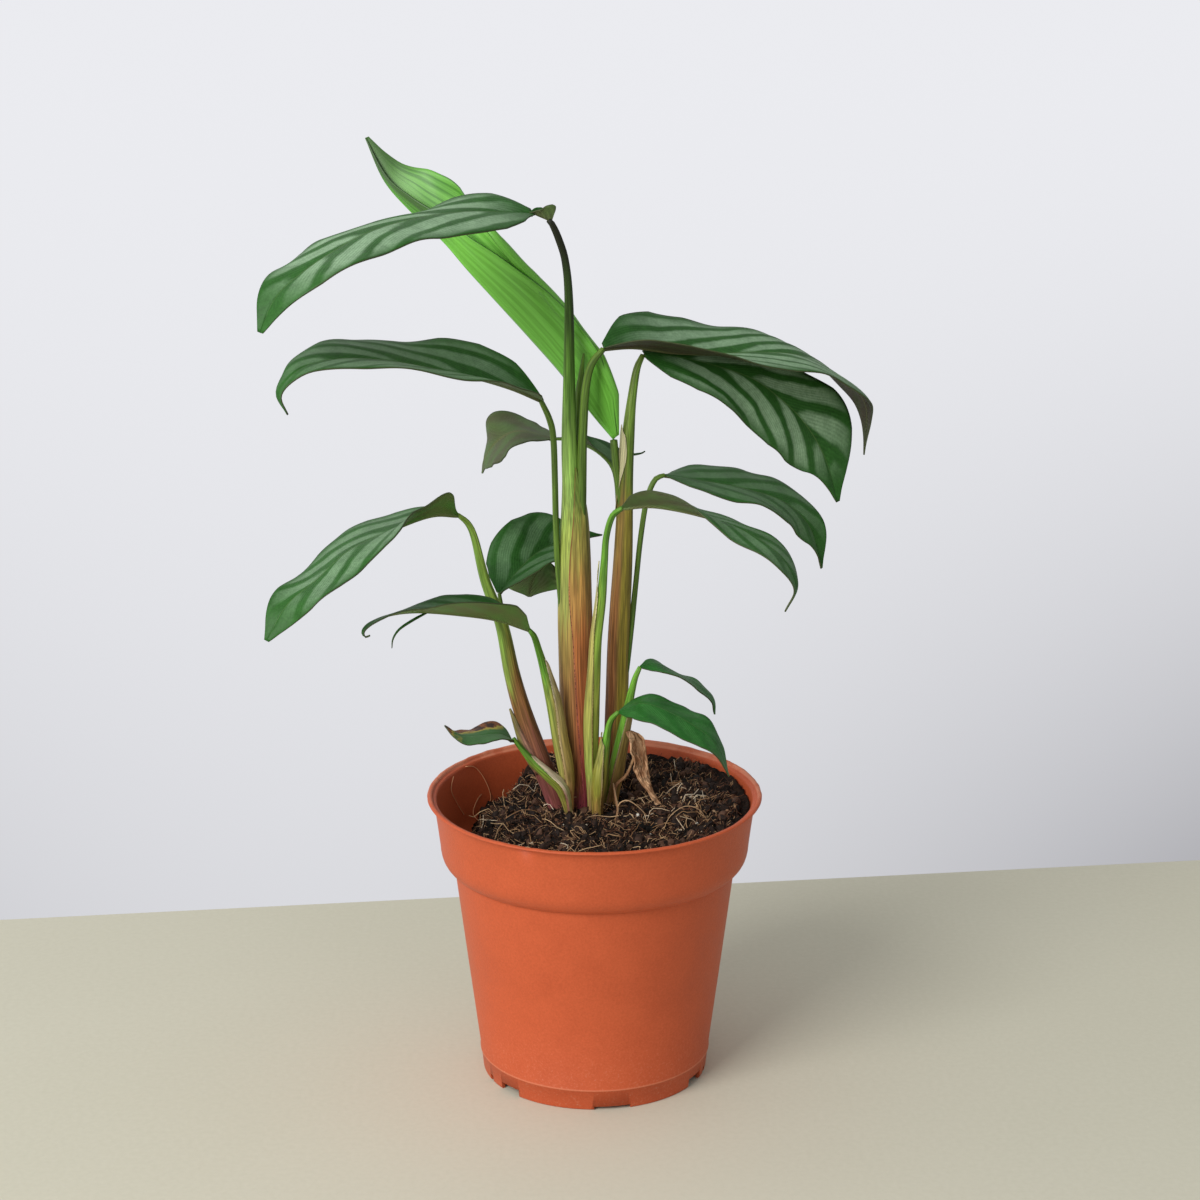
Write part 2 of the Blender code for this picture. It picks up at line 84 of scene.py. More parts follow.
# Height of the soil (mm) at the axis, then every 15 degrees from +X half way in and near the wall.
SOIL_AXIS = 88.3
SOIL_MID = (91, 91.5, 92, 92, 91.5, 91, 91, 91, 91, 88.5, 86, 84, 83, 82, 82, 83, 84, 85, 86, 86.5, 87,
            88, 89, 90)
SOIL_WALL = (92, 92.5, 93, 93, 93, 93, 93, 93, 93, 84, 80, 79, 79, 79, 79.5, 80, 81, 82.5, 84, 85, 86,
             88, 90, 91)

# Soil (mm): its radius before the wall limits it, its underside, and the top where it falls away.
SOIL_RADIUS = 51.0
SOIL_FOOT = 6.8
HOLLOW_Z = 79.5

# Steps along and across a blade, and along and across its small flap.
BLADE_GRID = (90, 32)
FLAP_GRID = (24, 12)

# Relief of a blade 16 mm wide on each side of its midrib (mm): half its thickness, the swell
# between its side veins, the waves of its margins, the groove along its midrib, and the keel
# under it, by its height at the tip and how much higher it is at the base.
BLADE_HALF = 16
HALF_THICK = 0.2
SWELL = 0.35
WAVES = 1.0
GROOVE = 0.16
KEEL_TIP = 0.15
KEEL_FALL = 0.75

# Length of a step along a stalk (mm), and steps along and across a sheath.
STALK_STEP = 1.6
SHEATH_STEPS = 240
SHEATH_COLUMNS = 25

# Half width of a blade at shares of its length, as a share of its widest.
BLADE_S = (0.0, 0.03, 0.08, 0.18, 0.30, 0.44, 0.58, 0.71, 0.82, 0.90, 0.96, 1.0)
BLADE_W = (0.08, 0.24, 0.52, 0.83, 0.97, 1.00, 0.93, 0.77, 0.54, 0.30, 0.13, 0.04)

# One blade each: "rib" is the midrib from its base to its tip (mm) and "half" the widest half
# width (mm). "far" and "near" are how far its halves, away from and towards the front, tip at even
# steps along it (degrees); "_curl" and "_hook" turn them further on the way out (degrees), and
# "wide" and "_wide" are shares of the width. Side veins stand "band" mm apart, are moved "start" mm
# back, and run forward by "slope" for each mm out. "silver" is how light the upper side is between
# its dark bands, "crumple" the height of its folds (mm), and "flap" a small sheet joined to it.
LEAVES = {
    "leaf_upper_left": {
        "rib": [(-19, 0, 284), (-27, -6, 285), (-40, -17, 286), (-53, -28, 285), (-66, -40, 282),
                (-76, -50, 277), (-85, -58, 271), (-91, -63, 265), (-95, -66, 256)],
        "half": 17, "far": [56, 38, 21, 11, 8, 6, 6, 8, 14, 30, 45], "near": [0, 9, 7, 0, -8, 10],
        "far_curl": [-30, -20], "near_curl": [20, 20], "near_wide": [1, 1, 1, 1.05, 1.45, 1.5],
        "far_wide": [1.6, 1.25, 0.95, 0.86, 0.9, 0.95, 1.02, 1.1, 1.15, 1.2, 1.2],
        "band": 30, "slope": 3.2, "start": 4, "silver": 1.0,
        "flap": {
            "rib": [(-13.4, 1.2, 281.4), (-15.4, 0.3, 282.6), (-18, -0.5, 283.8), (-20, -1.5, 284.6)],
            "half": 3.2, "far": [60, 60], "near": [-85, -75, -60, -40],
            "near_wide": [2.4, 1.5, 0.8, 0.5], "band": 25, "start": 0, "silver": 0}},
    "leaf_new": {
        "rib": [(6.4, 14, 211), (-1, 16, 219.5), (-10, 19, 231), (-21, 22, 243), (-40, 26, 263),
                (-49, 29, 273), (-60, 32, 283), (-68, 36, 292), (-74, 40, 305)],
        "half": 19, "far": [75, 82, 84, 82, 75, 70], "near": [-75, -75, -72, -66, -50, -30],
        "far_hook": [230, 230, 230, 160, 20, 0], "far_wide": [1.8, 1.35, 1.3, 1.25, 1.3, 1.3],
        "near_wide": [1.05, 1.02, 0.93, 0.66, 0.45, 0.4],
        "band": 24, "slope": 2.5, "start": 0, "silver": 0.5},
    "leaf_mid_left": {
        "rib": [(-17, 0, 226), (-26, -7, 231), (-38, -16, 236), (-50, -26, 240), (-62, -38, 244),
                (-74, -48, 246), (-83, -55, 245), (-88, -59, 242), (-91, -60, 237), (-89, -58, 231)],
        "half": 16, "far": [65, 50, 35, 29, 20, 0], "near": [-2, -1, 3, 6, 6, -10],
        "far_curl": [-20, -20], "near_curl": [10, -10],
        "far_wide": [1.4, 1.25, 1, 1, 0.95, 0.3], "near_wide": [1.4, 1.35, 1.25, 1, 0.8, 0.2],
        "band": 26, "slope": 3.4, "start": 2, "silver": 0.6},
    "leaf_back_left": {
        "rib": [(-14, 30, 208), (-25, 34, 210), (-32, 38, 206), (-37, 42, 199), (-38, 43, 194)],
        "half": 12, "far": [0, -3, 12, 60, 42, 5], "near": [0, 8, 36, 42, 45, 70],
        "band": 14, "start": 0, "silver": 0.5},
    "leaf_back_right": {
        "rib": [(-3, 32.2, 208.8), (4, 36, 206), (11, 41, 201.5), (15, 44, 200.4), (17, 45.4, 201)],
        "half": 9, "far": [-20, -20], "near": [40, 40], "wide": [1, 1.1, 1, 0.3, 0.1, 0.1],
        "band": 14, "start": 0, "silver": 0.5},
    "leaf_upper_right": {
        "rib": [(3, 8, 241), (13, 14, 240.8), (26, 22, 238), (41, 31, 236.2), (55, 39, 235.4),
                (69, 47, 233), (83, 55, 225), (91.5, 60, 217), (93.5, 61, 209), (92.5, 60, 197)],
        "half": 17, "far": [62, 47, 35, 26, 10, -10], "near": [-22, -12, 8, 14, 9, 20],
        "far_curl": [-20, -20], "near_curl": [0, 0, 10, 10],
        "far_wide": [1.5, 1.2, 1.0, 0.98, 1, 1.2], "wide": [1, 1, 1, 1, 1, 1, 1, 1, 1.1, 0.7, 0.3],
        "band": 26, "slope": 4.2, "start": 6, "silver": 0.9},
    "leaf_large_right": {
        "rib": [(16, 18, 238), (31, 26, 235), (50, 36, 228), (60, 42, 221), (70, 48, 211),
                (78, 52, 198), (83, 53, 182)],
        "half": 16, "far": [30, 45, 55, 68, 82, 95], "near": [46, 42, 60, 64, 68, 55],
        "far_curl": [-10, -10], "near_curl": [10, 10],
        "far_wide": [1.3, 1, 0.95, 1.05, 1.85, 1.4], "near_wide": [1.1, 0.9, 1, 1.15, 1.35, 0.9],
        "band": 24, "slope": 2.6, "start": 12, "silver": 1.0},
    "leaf_right_mid": {
        "rib": [(23, 19, 198), (35, 25, 195), (50, 31, 191), (64, 37, 185), (73, 41, 175), (77, 43, 161)],
        "half": 13, "far": [10, 26, 32, 40, 70, 100], "near": [8, 11, 12, 29, 42, 17],
        "far_curl": [-20, -20], "near_curl": [10, 10],
        "band": 22, "slope": 3.0, "start": 2, "silver": 0.3},
    "leaf_right_low": {
        "rib": [(9, -9, 193), (19, -16, 195), (33, -25, 194), (46, -34, 191), (56, -40, 185),
                (61, -43, 176), (58, -43, 168)],
        "half": 11, "far": [36, -1, -9, -7, -10, 5], "near": [-45, -42, -32, 0, -5, -12],
        "wide": [1, 1, 1, 1, 1, 1, 1, 1, 1, 0.6, 0.25],
        "band": 22, "slope": 3.2, "start": 0, "silver": 0.35},
    "leaf_lower_left": {
        "rib": [(-43, -10, 191), (-51, -20, 193), (-62, -32, 191), (-74, -43, 187), (-83, -52, 180),
                (-91, -58, 174), (-97, -62, 164)],
        "half": 14, "far": [25, -4, -2, -13, 0, 40],
        "near": [-62, -62, -56, -34, -14, -4, -2, -1, 0, 15, 30],
        "near_wide": [0.5, 1.0, 0.42, 0.5, 0.85, 1, 1, 1.05, 1.3, 1.4, 1.4],
        "far_wide": [0.8, 1.15, 1.15, 1, 1.1, 1.3],
        "band": 25, "slope": 3.2, "start": 1, "silver": 0.6},
    "leaf_low_left": {
        "rib": [(-21, -8, 153), (-31, -16, 158.5), (-43, -26, 162.8), (-54, -34, 165.6), (-62, -40, 166.2),
                (-67.5, -43.5, 164.6), (-70, -45, 162.4), (-69.5, -45, 160.6), (-68, -44.6, 161)],
        "half": 10, "far": [50, 38, 22, 2, -18, -5], "near": [-46, -40, -32, -26, -18, -7],
        "wide": [1, 1.05, 1.1, 0.9, 0.5, 0.4], "band": 16, "slope": 2.2, "start": 0, "silver": 0.3,
        "flap": {
            "rib": [(-50, -31, 165.5), (-55.5, -35, 163.4), (-59.6, -38, 161.2), (-61.6, -39, 158.4),
                    (-62, -39, 155.4)],
            "half": 0.4, "far": [30, 20], "near": [30, 20], "band": 16, "start": 0, "silver": 0}},
    "leaf_back_dark": {
        "rib": [(-31, 8, 161), (-26, 14, 166), (-20, 24, 170), (-12, 34, 172), (2.5, 46, 172)],
        "half": 14, "far": [23, 14, 48, 50, 60, 95], "near": [-30, -13, -5, -4, -6, -5],
        "wide": [1, 1, 1, 1, 1, 0.6, 0.4],
        "band": 15, "start": 3, "silver": 0.35},
    "leaf_back_low": {
        "rib": [(-16.5, 25, 168.5), (-19, 23, 165), (-20.8, 20.5, 161), (-21.6, 18, 157.3)],
        "half": 8, "far": [10, 10], "near": [10, 10], "wide": [1.4, 1.2, 1.3, 1.7, 1.7],
        "band": 12, "start": 0, "silver": 0.3},
    "leaf_small_upper": {
        "rib": [(15, 5, 137), (21, 7, 137), (31, 11, 131), (39, 14, 124), (40, 14, 118)],
        "half": 6, "far": [16, 8, -8, 8, 12, 30], "near": [30, 14, 6, 18, 28, 55],
        "band": 12, "start": 0, "silver": 0.25},
    "leaf_small_lower": {
        "rib": [(8, -6, 125), (16, -10, 129), (27, -15, 126), (38, -19, 119), (43, -21, 108)],
        "half": 9, "far": [20, 8, -2, 8, -6, -19], "near": [33, 26, 17, 17, 0, -22],
        "band": 12, "start": 0, "silver": 0.25},
    "leaf_burnt": {
        "rib": [(-27, 0, 113), (-31, -3, 116.5), (-38, -8, 117.5), (-43, -11, 118.5), (-48, -13, 122.5)],
        "half": 6.5, "far": [40, 24, 10, 3, 3, 6], "near": [0, 2, 2, 10, 25, 45],
        "wide": [1.2, 1.1, 1, 1, 1.1, 1.2],
        "band": 12, "start": 0, "silver": 0.2},
    "leaf_dead": {
        "rib": [(11.3, 3.6, 115.4), (12.6, 3.4, 110.6), (15, 3, 104), (17, 2.6, 98), (21.2, 2, 90.4)],
        "half": 3.4, "far": [35, 60, 25, -20], "near": [-30, 20, 45, 10], "crumple": 0.9,
        "wide": [2.6, 1.25, 0.85, 0.6, 0.4],
        "band": 12, "start": 0, "silver": 0.0},
}

# One stalk each: a run of (x, y, z, radius) in mm, from its foot to its top.
STEMS = {
    "stem_main": [
        (-4.2, 7, 84.8, 3.4), (-4.4, 7.4, 90, 3.9), (-5, 8, 104, 4.9), (-6, 8, 124, 5.4),
        (-6.5, 8, 145, 5.5), (-6.6, 8, 160, 5.2), (-6.6, 8, 174, 4.8), (-6.7, 8, 186, 4.2),
        (-7.4, 8, 198, 3.1), (-7.9, 7.6, 211, 2.6), (-8, 7, 232, 1.9), (-8, 4, 257, 1.4),
        (-9, 3, 269, 1.2), (-11, 2, 276, 1.15), (-13, 1.4, 280.6, 1.0), (-14.2, 1, 282, 0.8)],
    "stem_second": [
        (4.4, 10.2, 84.8, 2.6), (5, 10.8, 90, 2.9), (6.2, 13, 104, 3.3), (7.4, 14, 124, 3.7),
        (7.9, 14, 143.6, 3.6), (9.3, 14, 170.7, 3.1), (10.2, 14, 197, 2.4), (10.9, 14, 211, 2.1),
        (12, 15, 223, 1.5), (13.6, 16.6, 233, 1.15), (15.6, 17.8, 237.6, 0.8)],
    "stem_left": [
        (-11.8, 6.5, 84.8, 2.7), (-12.6, 6, 89, 3.0), (-14.4, 5, 95.2, 3.3), (-17.5, 4, 104, 3.3),
        (-23.4, 2.2, 122, 3.0), (-26.9, 1, 136, 2.6), (-30, -1, 153, 2.1), (-35, -3, 168, 1.6),
        (-38, -5, 182, 1.2), (-40, -7, 187.5, 1.0), (-42.9, -9.9, 190.9, 0.7)],
    "stem_low_left": [
        (-8, 1.4, 84.8, 1.0), (-8.2, 1, 88.7, 1.1), (-8.7, 0.8, 92.6, 1.5), (-9.1, 0.6, 99.6, 2.2),
        (-10.1, 0.5, 106.5, 2.5), (-11.4, 0.5, 113.4, 2.5), (-13.4, 0.3, 126, 2.4), (-16.3, -1, 138, 1.5),
        (-17.9, -3, 144.5, 1.15), (-19.3, -5.5, 150, 1.0), (-20.9, -7.9, 152.9, 0.7)],
    "stem_low_right": [
        (-0.6, 2.2, 84.8, 1.1), (-0.7, 1.7, 92.3, 1.3), (-0.8, 1.2, 99.3, 1.6), (-0.9, 0.8, 106.4, 2.0),
        (-0.8, 0.3, 120.3, 2.4), (-0.1, -0.1, 134, 2.1), (0.6, -0.3, 147.5, 1.8), (2.2, -1, 161, 1.6),
        (3.2, -2.4, 174, 1.2), (3.8, -4, 182.5, 1.05), (5.7, -6.5, 189.8, 1.0), (8.8, -8.8, 192.9, 0.8)],
    "stem_small_lower": [
        (1.3, -1.8, 84.8, 1.4), (1.3, -1.9, 88, 1.6), (1.3, -2.2, 93, 1.9), (1.8, -2.6, 98, 2.4),
        (2.4, -3, 104, 2.3), (3.9, -3.8, 115, 1.4), (5.3, -4.8, 121.6, 1.0), (7.8, -5.9, 124.9, 0.7)],
    "stem_small_upper": [
        (4.2, 6, 84.8, 2.1), (4.5, 6.1, 88, 2.3), (7.2, 7, 102, 2.4), (10.5, 6.2, 120, 1.6),
        (13, 5.2, 132, 1.0), (14.9, 5, 136.9, 0.7)],
    "stem_burnt": [
        (-8.3, -0.6, 84.8, 1.0), (-8.9, -1, 90, 1.3), (-10.9, -1.6, 97.4, 2.0), (-15.4, -1.8, 102.1, 1.8),
        (-20, -1.5, 106.3, 1.4), (-24, -1, 111, 0.9), (-26.6, -0.3, 114.2, 0.7)],
    "petiole_mid_left": [
        (-8.8, 6.4, 140, 0.9), (-10.6, 6.3, 156, 1.0), (-11.9, 6.2, 172, 1.0), (-12.4, 5.5, 186, 1.0),
        (-12.6, 4, 199, 1.0), (-13, 3, 213, 1.0), (-14.2, 1.5, 219.5, 1.0), (-16.9, 0.1, 225.8, 0.8)],
    "petiole_upper_right": [
        (-5, 6.4, 150, 1.2), (-4.4, 6.4, 172, 1.4), (-4.2, 6.3, 190, 1.6), (-4.1, 6.5, 202, 1.65),
        (-3.8, 6.8, 213, 1.5), (-2.8, 7, 228, 1.3), (-1, 7, 236, 1.2), (2.9, 8, 240.9, 0.9)],
    "petiole_right_mid": [
        (8, 13.6, 118, 1.0), (10.3, 13.4, 133, 1.1), (12, 14.4, 147, 1.0), (13.6, 15.6, 163, 0.9),
        (15, 16, 177, 0.9), (17, 16.5, 190, 0.9), (19.7, 18, 196.6, 0.9), (22.9, 18.9, 198, 0.7)],
    "petiole_new": [
        (9.6, 13.4, 178, 0.8), (8.6, 13.2, 189, 0.9), (7.5, 13.2, 198, 1.1), (6.8, 13.6, 204, 1.25),
        (6.2, 14, 210.5, 1.2)],
    "petiole_back_left": [
        (7.8, 17, 186, 0.7), (7.1, 18.2, 196, 0.7), (5.5, 20.5, 201, 0.7), (1.5, 24, 204.5, 0.6),
        (-3, 26.6, 206.6, 0.6), (-9, 29, 208, 0.6), (-13.9, 30, 208, 0.5)],
    "petiole_back_right": [
        (-4, 13.5, 84.8, 1.0), (-4.2, 13.6, 92, 1.0), (-5, 14, 120, 0.9), (-5.3, 15, 160, 0.9),
        (-5.3, 17.5, 184, 0.8), (-5, 24, 198, 0.7), (-4.5, 29.5, 204.5, 0.7), (-3.1, 32.1, 208.7, 0.6)],
    "petiole_back_dark": [
        (-25.2, 1.6, 124, 1.0), (-27, 4.2, 138, 0.8), (-29.5, 6.5, 152, 0.8), (-31, 8, 161, 0.6)],
    "petiole_back_low": [
        (-7.5, 14, 84.8, 0.9), (-7.6, 14.1, 92, 0.9), (-8.6, 15.5, 115, 0.9), (-9.6, 19, 150, 0.8),
        (-12, 23.5, 163, 0.7), (-16.4, 25, 168.4, 0.5)],
    "leaf_rolled": [
        (-6, 9.8, 182, 0.9), (-5, 12.3, 205, 1.2), (-5, 12.2, 224, 1.2), (-4.2, 11.6, 232, 0.9),
        (-3.4, 11, 239, 0.3)],
    "sheath_left": [
        (-18.4, 2.6, 101, 1.0), (-20.7, 1.7, 107, 2.1), (-23.8, 0.8, 114, 1.6), (-27.6, 0.5, 124, 0.35)],
    "stem_dead": [
        (7.8, 2, 84.8, 0.6), (7.7, 2, 89, 0.6), (6.7, 2, 93, 0.5), (7.1, 2, 97.3, 0.6),
        (10.6, 2.2, 100.8, 0.5), (12.8, 2.8, 106, 0.5)],
}

# Loose roots and twigs on the soil: a run of (x, y, z, radius) in mm.
TWIGS = {
    "arching_root": [
        (22, -20, 89, 0.1), (24.3, -20, 94.2, 0.13), (29, -20, 97.6, 0.13), (33.9, -20, 96.2, 0.12),
        (37.8, -20, 89.6, 0.1)],
    "forked_twig": [
        (6.1, 0, 98.7, 0.3), (6.8, -1.5, 95, 0.35), (7.6, -3, 91, 0.4), (7.2, -4.5, 88.6, 0.3)],
    "front_root": [(-4, -7, 88.6, 0.12), (0, -7.5, 90, 0.15), (5, -7.6, 89.6, 0.15), (8, -8, 90.2, 0.12)],
    "side_root": [
        (7.4, -3, 91, 0.2), (8.6, -3, 93, 0.25), (11, -4, 94, 0.2), (14, -5, 92.4, 0.15),
        (17, -7, 90, 0.1)],
    "left_root": [(-16, -4, 88, 0.12), (-19, -6, 91, 0.15), (-24, -8, 92, 0.14), (-29, -10, 90, 0.12)],
}

# Thin roots on the inner wall: a run of (degrees from +X, height in mm).
WALL_ROOTS = (((149, 95.6), (143.3, 94), (138.8, 89.2), (136.2, 82.5), (138.5, 77)),
              ((141, 84), (144.2, 82.5), (147.6, 78.5), (144, 74)),
              ((158.4, 94.6), (161.5, 90.8), (158, 85.1), (154, 80)))

# Paints of the stalks: the paint's name, then its colours up the left side and up the right, each
# a height (mm) with red, green and blue; the right side's colours are darker, partly painted shade.
# "thin" is for leaf stalks and the rolled leaf, and "short" for the stalks that have no paint of
# their own.
STALK_LOOKS = {
    "stem_main": (
        "main_stalk",
        ((86, 0.2, 0.035, 0.05), (104, 0.22, 0.12, 0.04), (128, 0.4, 0.21, 0.07),
         (144, 0.42, 0.29, 0.08), (160, 0.4, 0.44, 0.11), (178, 0.36, 0.44, 0.09),
         (206, 0.34, 0.56, 0.13), (232, 0.12, 0.26, 0.035), (256, 0.045, 0.1, 0.012),
         (274, 0.02, 0.025, 0.008)),
        ((86, 0.22, 0.035, 0.05), (104, 0.4, 0.1, 0.05), (140, 0.42, 0.15, 0.05),
         (158, 0.42, 0.36, 0.09), (178, 0.28, 0.4, 0.08), (206, 0.24, 0.44, 0.08), (232, 0.08, 0.2, 0.02),
         (256, 0.03, 0.07, 0.01), (274, 0.015, 0.018, 0.006))),
    "stem_second": (
        "second_stalk",
        ((88, 0.22, 0.04, 0.045), (106, 0.46, 0.19, 0.08), (150, 0.34, 0.15, 0.05),
         (182, 0.26, 0.17, 0.04), (200, 0.15, 0.2, 0.035), (216, 0.16, 0.24, 0.04)),
        ((88, 0.2, 0.08, 0.03), (104, 0.42, 0.35, 0.05), (140, 0.34, 0.26, 0.035),
         (182, 0.24, 0.2, 0.03), (200, 0.15, 0.25, 0.035), (216, 0.14, 0.25, 0.035))),
    "stem_left": (
        "left_stalk",
        ((88, 0.34, 0.1, 0.1), (104, 0.3, 0.11, 0.08), (124, 0.26, 0.13, 0.04), (136, 0.26, 0.36, 0.06),
         (152, 0.28, 0.48, 0.08), (170, 0.24, 0.42, 0.07)),
        ((88, 0.34, 0.1, 0.09), (108, 0.3, 0.11, 0.07), (130, 0.3, 0.14, 0.045), (144, 0.28, 0.28, 0.05),
         (158, 0.28, 0.44, 0.07))),
    "stem_low_left": (
        "low_left_stalk",
        ((88, 0.42, 0.28, 0.09), (106, 0.38, 0.36, 0.09), (126, 0.3, 0.4, 0.07),
         (142, 0.14, 0.36, 0.04)),
        ((88, 0.38, 0.2, 0.07), (106, 0.38, 0.26, 0.07), (126, 0.36, 0.3, 0.08),
         (142, 0.12, 0.3, 0.03))),
    "stem_low_right": (
        "low_right_stalk",
        ((88, 0.3, 0.2, 0.07), (102, 0.38, 0.5, 0.08), (124, 0.38, 0.48, 0.08), (150, 0.3, 0.42, 0.06),
         (176, 0.12, 0.3, 0.03)),
        ((88, 0.28, 0.2, 0.06), (102, 0.36, 0.46, 0.07), (124, 0.34, 0.4, 0.06), (150, 0.24, 0.4, 0.05),
         (176, 0.1, 0.26, 0.03))),
    "sheath_left": (
        "sheath_tip",
        ((102, 0.34, 0.14, 0.1), (114, 0.26, 0.22, 0.07)),
        ((102, 0.28, 0.1, 0.08), (114, 0.42, 0.22, 0.15), (122, 0.22, 0.2, 0.08))),
    "short": (
        "short_stalk",
        ((88, 0.3, 0.2, 0.06), (98, 0.26, 0.32, 0.05), (112, 0.16, 0.4, 0.04)),
        ((88, 0.28, 0.16, 0.05), (98, 0.22, 0.2, 0.03), (116, 0.14, 0.34, 0.035))),
    "thin": (
        "leaf_stalk",
        ((92, 0.22, 0.22, 0.05), (110, 0.13, 0.23, 0.032)),
        ((92, 0.2, 0.17, 0.04), (110, 0.095, 0.18, 0.024))),
}

# Pointed sheaths clasping the stalks: the stalk, the heights they run between (mm), and
# where their left and right margins run from foot to tip (degrees from the front to +X).
SHEATHS = {
    "main": ("stem_main", 86, 204, [10, 5, 0, -5, -18, -5, 26], [100, 100, 100, 100, 100, 95, 80]),
    "second": ("stem_second", 186, 216, [-120, -120, -110, -80], [-85, -45, -5, -35]),
    "low_right": ("stem_low_right", 86, 174, [-135, -135, -130, -130, -115], [20, 10, 0, -25, -50]),
    "low_left": ("stem_low_left", 86, 142, [-20, -10, 0, 15, 40], [140, 140, 140, 130, 110]),
    "small_lower": ("stem_small_lower", 86, 117, [-140, -140, -130, -110], [25, 20, 5, -20]),
    "burnt": ("stem_burnt", 87, 108, [0, 10, 20, 40], [150, 150, 140, 130]),
    "small_upper": ("stem_small_upper", 86, 124, [-20, -20, -10, 10], [100, 100, 90, 70]),
}

# Paints of the sheaths: the paint's name, its colours by height (mm), those of its margins, the
# share of the width that a margin takes, and how much of its colour the right side keeps, the rest
# taken away as painted shade.
PINK, CREAM = (0.45, 0.2, 0.14), (0.62, 0.54, 0.36)
SHEATH_LOOKS = {
    "main": (
        "main_sheath",
        ((86, 0.22, 0.035, 0.055), (102, 0.34, 0.07, 0.05), (120, 0.42, 0.12, 0.05),
         (144, 0.46, 0.16, 0.05), (160, 0.46, 0.25, 0.07), (178, 0.36, 0.3, 0.07),
         (196, 0.22, 0.32, 0.06)),
        ((100, 0.3, 0.06, 0.06), (150, 0.45, 0.16, 0.08), (180, 0.34, 0.1, 0.04)), 0.08, 0.55),
    "second": (
        "second_sheath",
        ((186, 0.34, 0.3, 0.1), (198, 0.5, 0.46, 0.27)),
        ((186, 0.34, 0.3, 0.1), (198, 0.55, 0.5, 0.32))),
    "low_right": (
        "right_sheath",
        ((88, 0.32, 0.2, 0.08), (102, 0.36, 0.44, 0.09), (124, 0.4, 0.4, 0.09), (146, 0.46, 0.42, 0.12),
         (166, 0.55, 0.54, 0.27)),
        ((100, 0.3, 0.2, 0.06), (146, 0.4, 0.36, 0.12), (166, *CREAM)), 0.15),
    "low_left": (
        "left_sheath",
        ((88, 0.42, 0.24, 0.09), (106, 0.42, 0.31, 0.09), (126, 0.46, 0.38, 0.15),
         (140, 0.55, 0.48, 0.28)),
        ((96, 0.42, 0.28, 0.11), (120, 0.46, 0.36, 0.18), (134, *CREAM)), 0.3),
    "small_lower": (
        "small_sheath",
        ((88, 0.32, 0.2, 0.05), (102, 0.28, 0.28, 0.04), (114, 0.36, 0.36, 0.1)),
        ((92, 0.36, 0.24, 0.06), (112, 0.5, 0.42, 0.2)), 0.2),
    "burnt": (
        "pale_sheath",
        ((88, 0.4, 0.3, 0.12), (98, 0.42, 0.42, 0.18), (107, 0.55, 0.45, 0.32)),
        ((94, *PINK), (108, *CREAM)), 0.4),
    "small_upper": (
        "upper_sheath",
        ((88, 0.3, 0.16, 0.05), (104, 0.34, 0.25, 0.07), (122, 0.42, 0.38, 0.14)),
        ((94, *PINK), (120, *CREAM)), 0.15),
}


class Wire:
    """An output socket of a node tree; sums on it are written as plain expressions."""

    def __init__(self, tree, socket=None):
        self.tree = tree
        self.socket = socket

    def node(self, kind, inputs=None, output=0, **settings):
        """Adds a node: its type, the values or wires of its sockets, and its settings."""
        made = self.tree.nodes.new(kind)
        for name, value in settings.items():
            setattr(made, name, value)
        for key, value in (inputs or {}).items():
            if isinstance(value, Wire):
                self.tree.links.new(value.socket, made.inputs[key])
            else:
                made.inputs[key].default_value = value
        return Wire(self.tree, made.outputs[output])

    def math(self, operation, *others):
        values = dict(enumerate((self, *others)))
        return self.node("ShaderNodeMath", values, operation=operation)

    def __add__(self, other):
        return self.math("ADD", other)

    __radd__ = __add__

    def __sub__(self, other):
        return self.math("SUBTRACT", other)

    def __rsub__(self, other):
        return self.node("ShaderNodeMath", {0: other, 1: self}, operation="SUBTRACT")

    def __mul__(self, other):
        return self.math("MULTIPLY", other)

    __rmul__ = __mul__

    def __truediv__(self, other):
        return self.math("DIVIDE", other)

    def __pow__(self, other):
        return self.math("POWER", other)

    def __abs__(self):
        return self.math("ABSOLUTE")

    def between(self, low, high):
        """0 at low and 1 at high, with a soft start and end."""
        return self.node("ShaderNodeMapRange", {0: self, 1: low, 2: high, 3: 0.0, 4: 1.0},
                         interpolation_type="SMOOTHSTEP")

    def tint(self, start, end):
        """Colour that goes from start to end as this value goes from 0 to 1."""
        return self.node("ShaderNodeMix", {0: self, 6: rgba(start), 7: rgba(end)}, 2, data_type="RGBA")

    def scaled(self, share):
        """This colour or vector times a number."""
        return self.node("ShaderNodeVectorMath", {0: self, "Scale": share}, operation="SCALE")

    def vector(self, x, y, z):
        """A new vector, of numbers or wires."""
        return self.node("ShaderNodeCombineXYZ", {0: x, 1: y, 2: z})

    def axes(self):
        """The X, Y and Z of this vector."""
        return [self.node("ShaderNodeSeparateXYZ", {0: self}, i) for i in range(3)]

    def speckle(self, scale, detail=3.0, roughness=0.55):
        """Noise between 0 and 1 over this vector."""
        return self.node("ShaderNodeTexNoise",
                         {"Vector": self, "Scale": scale, "Detail": detail, "Roughness": roughness})

    def relief(self, distance, strength=1.0):
        """A normal for bumps of this height."""
        return self.node("ShaderNodeBump", {"Strength": strength, "Distance": distance, "Height": self})


def rgba(color):
    return color if isinstance(color, Wire) else (*color, 1.0)


def new_paint(name, roughness, gloss=0.5):
    """A material with one Principled shader, and a start for the wires in its tree."""
    mat = bpy.data.materials.new(name)
    mat.use_nodes = True
    shader = mat.node_tree.nodes["Principled BSDF"]
    shader.inputs["Roughness"].default_value = roughness
    shader.inputs["Specular IOR Level"].default_value = gloss
    return mat, Wire(mat.node_tree)


def finished(mat, color, roughness=None, normal=None):
    """The material, with wires into its shader."""
    shader = mat.node_tree.nodes["Principled BSDF"]
    for key, wire in (("Base Color", color), ("Roughness", roughness), ("Normal", normal)):
        if wire:
            mat.node_tree.links.new(wire.socket, shader.inputs[key])
    return mat


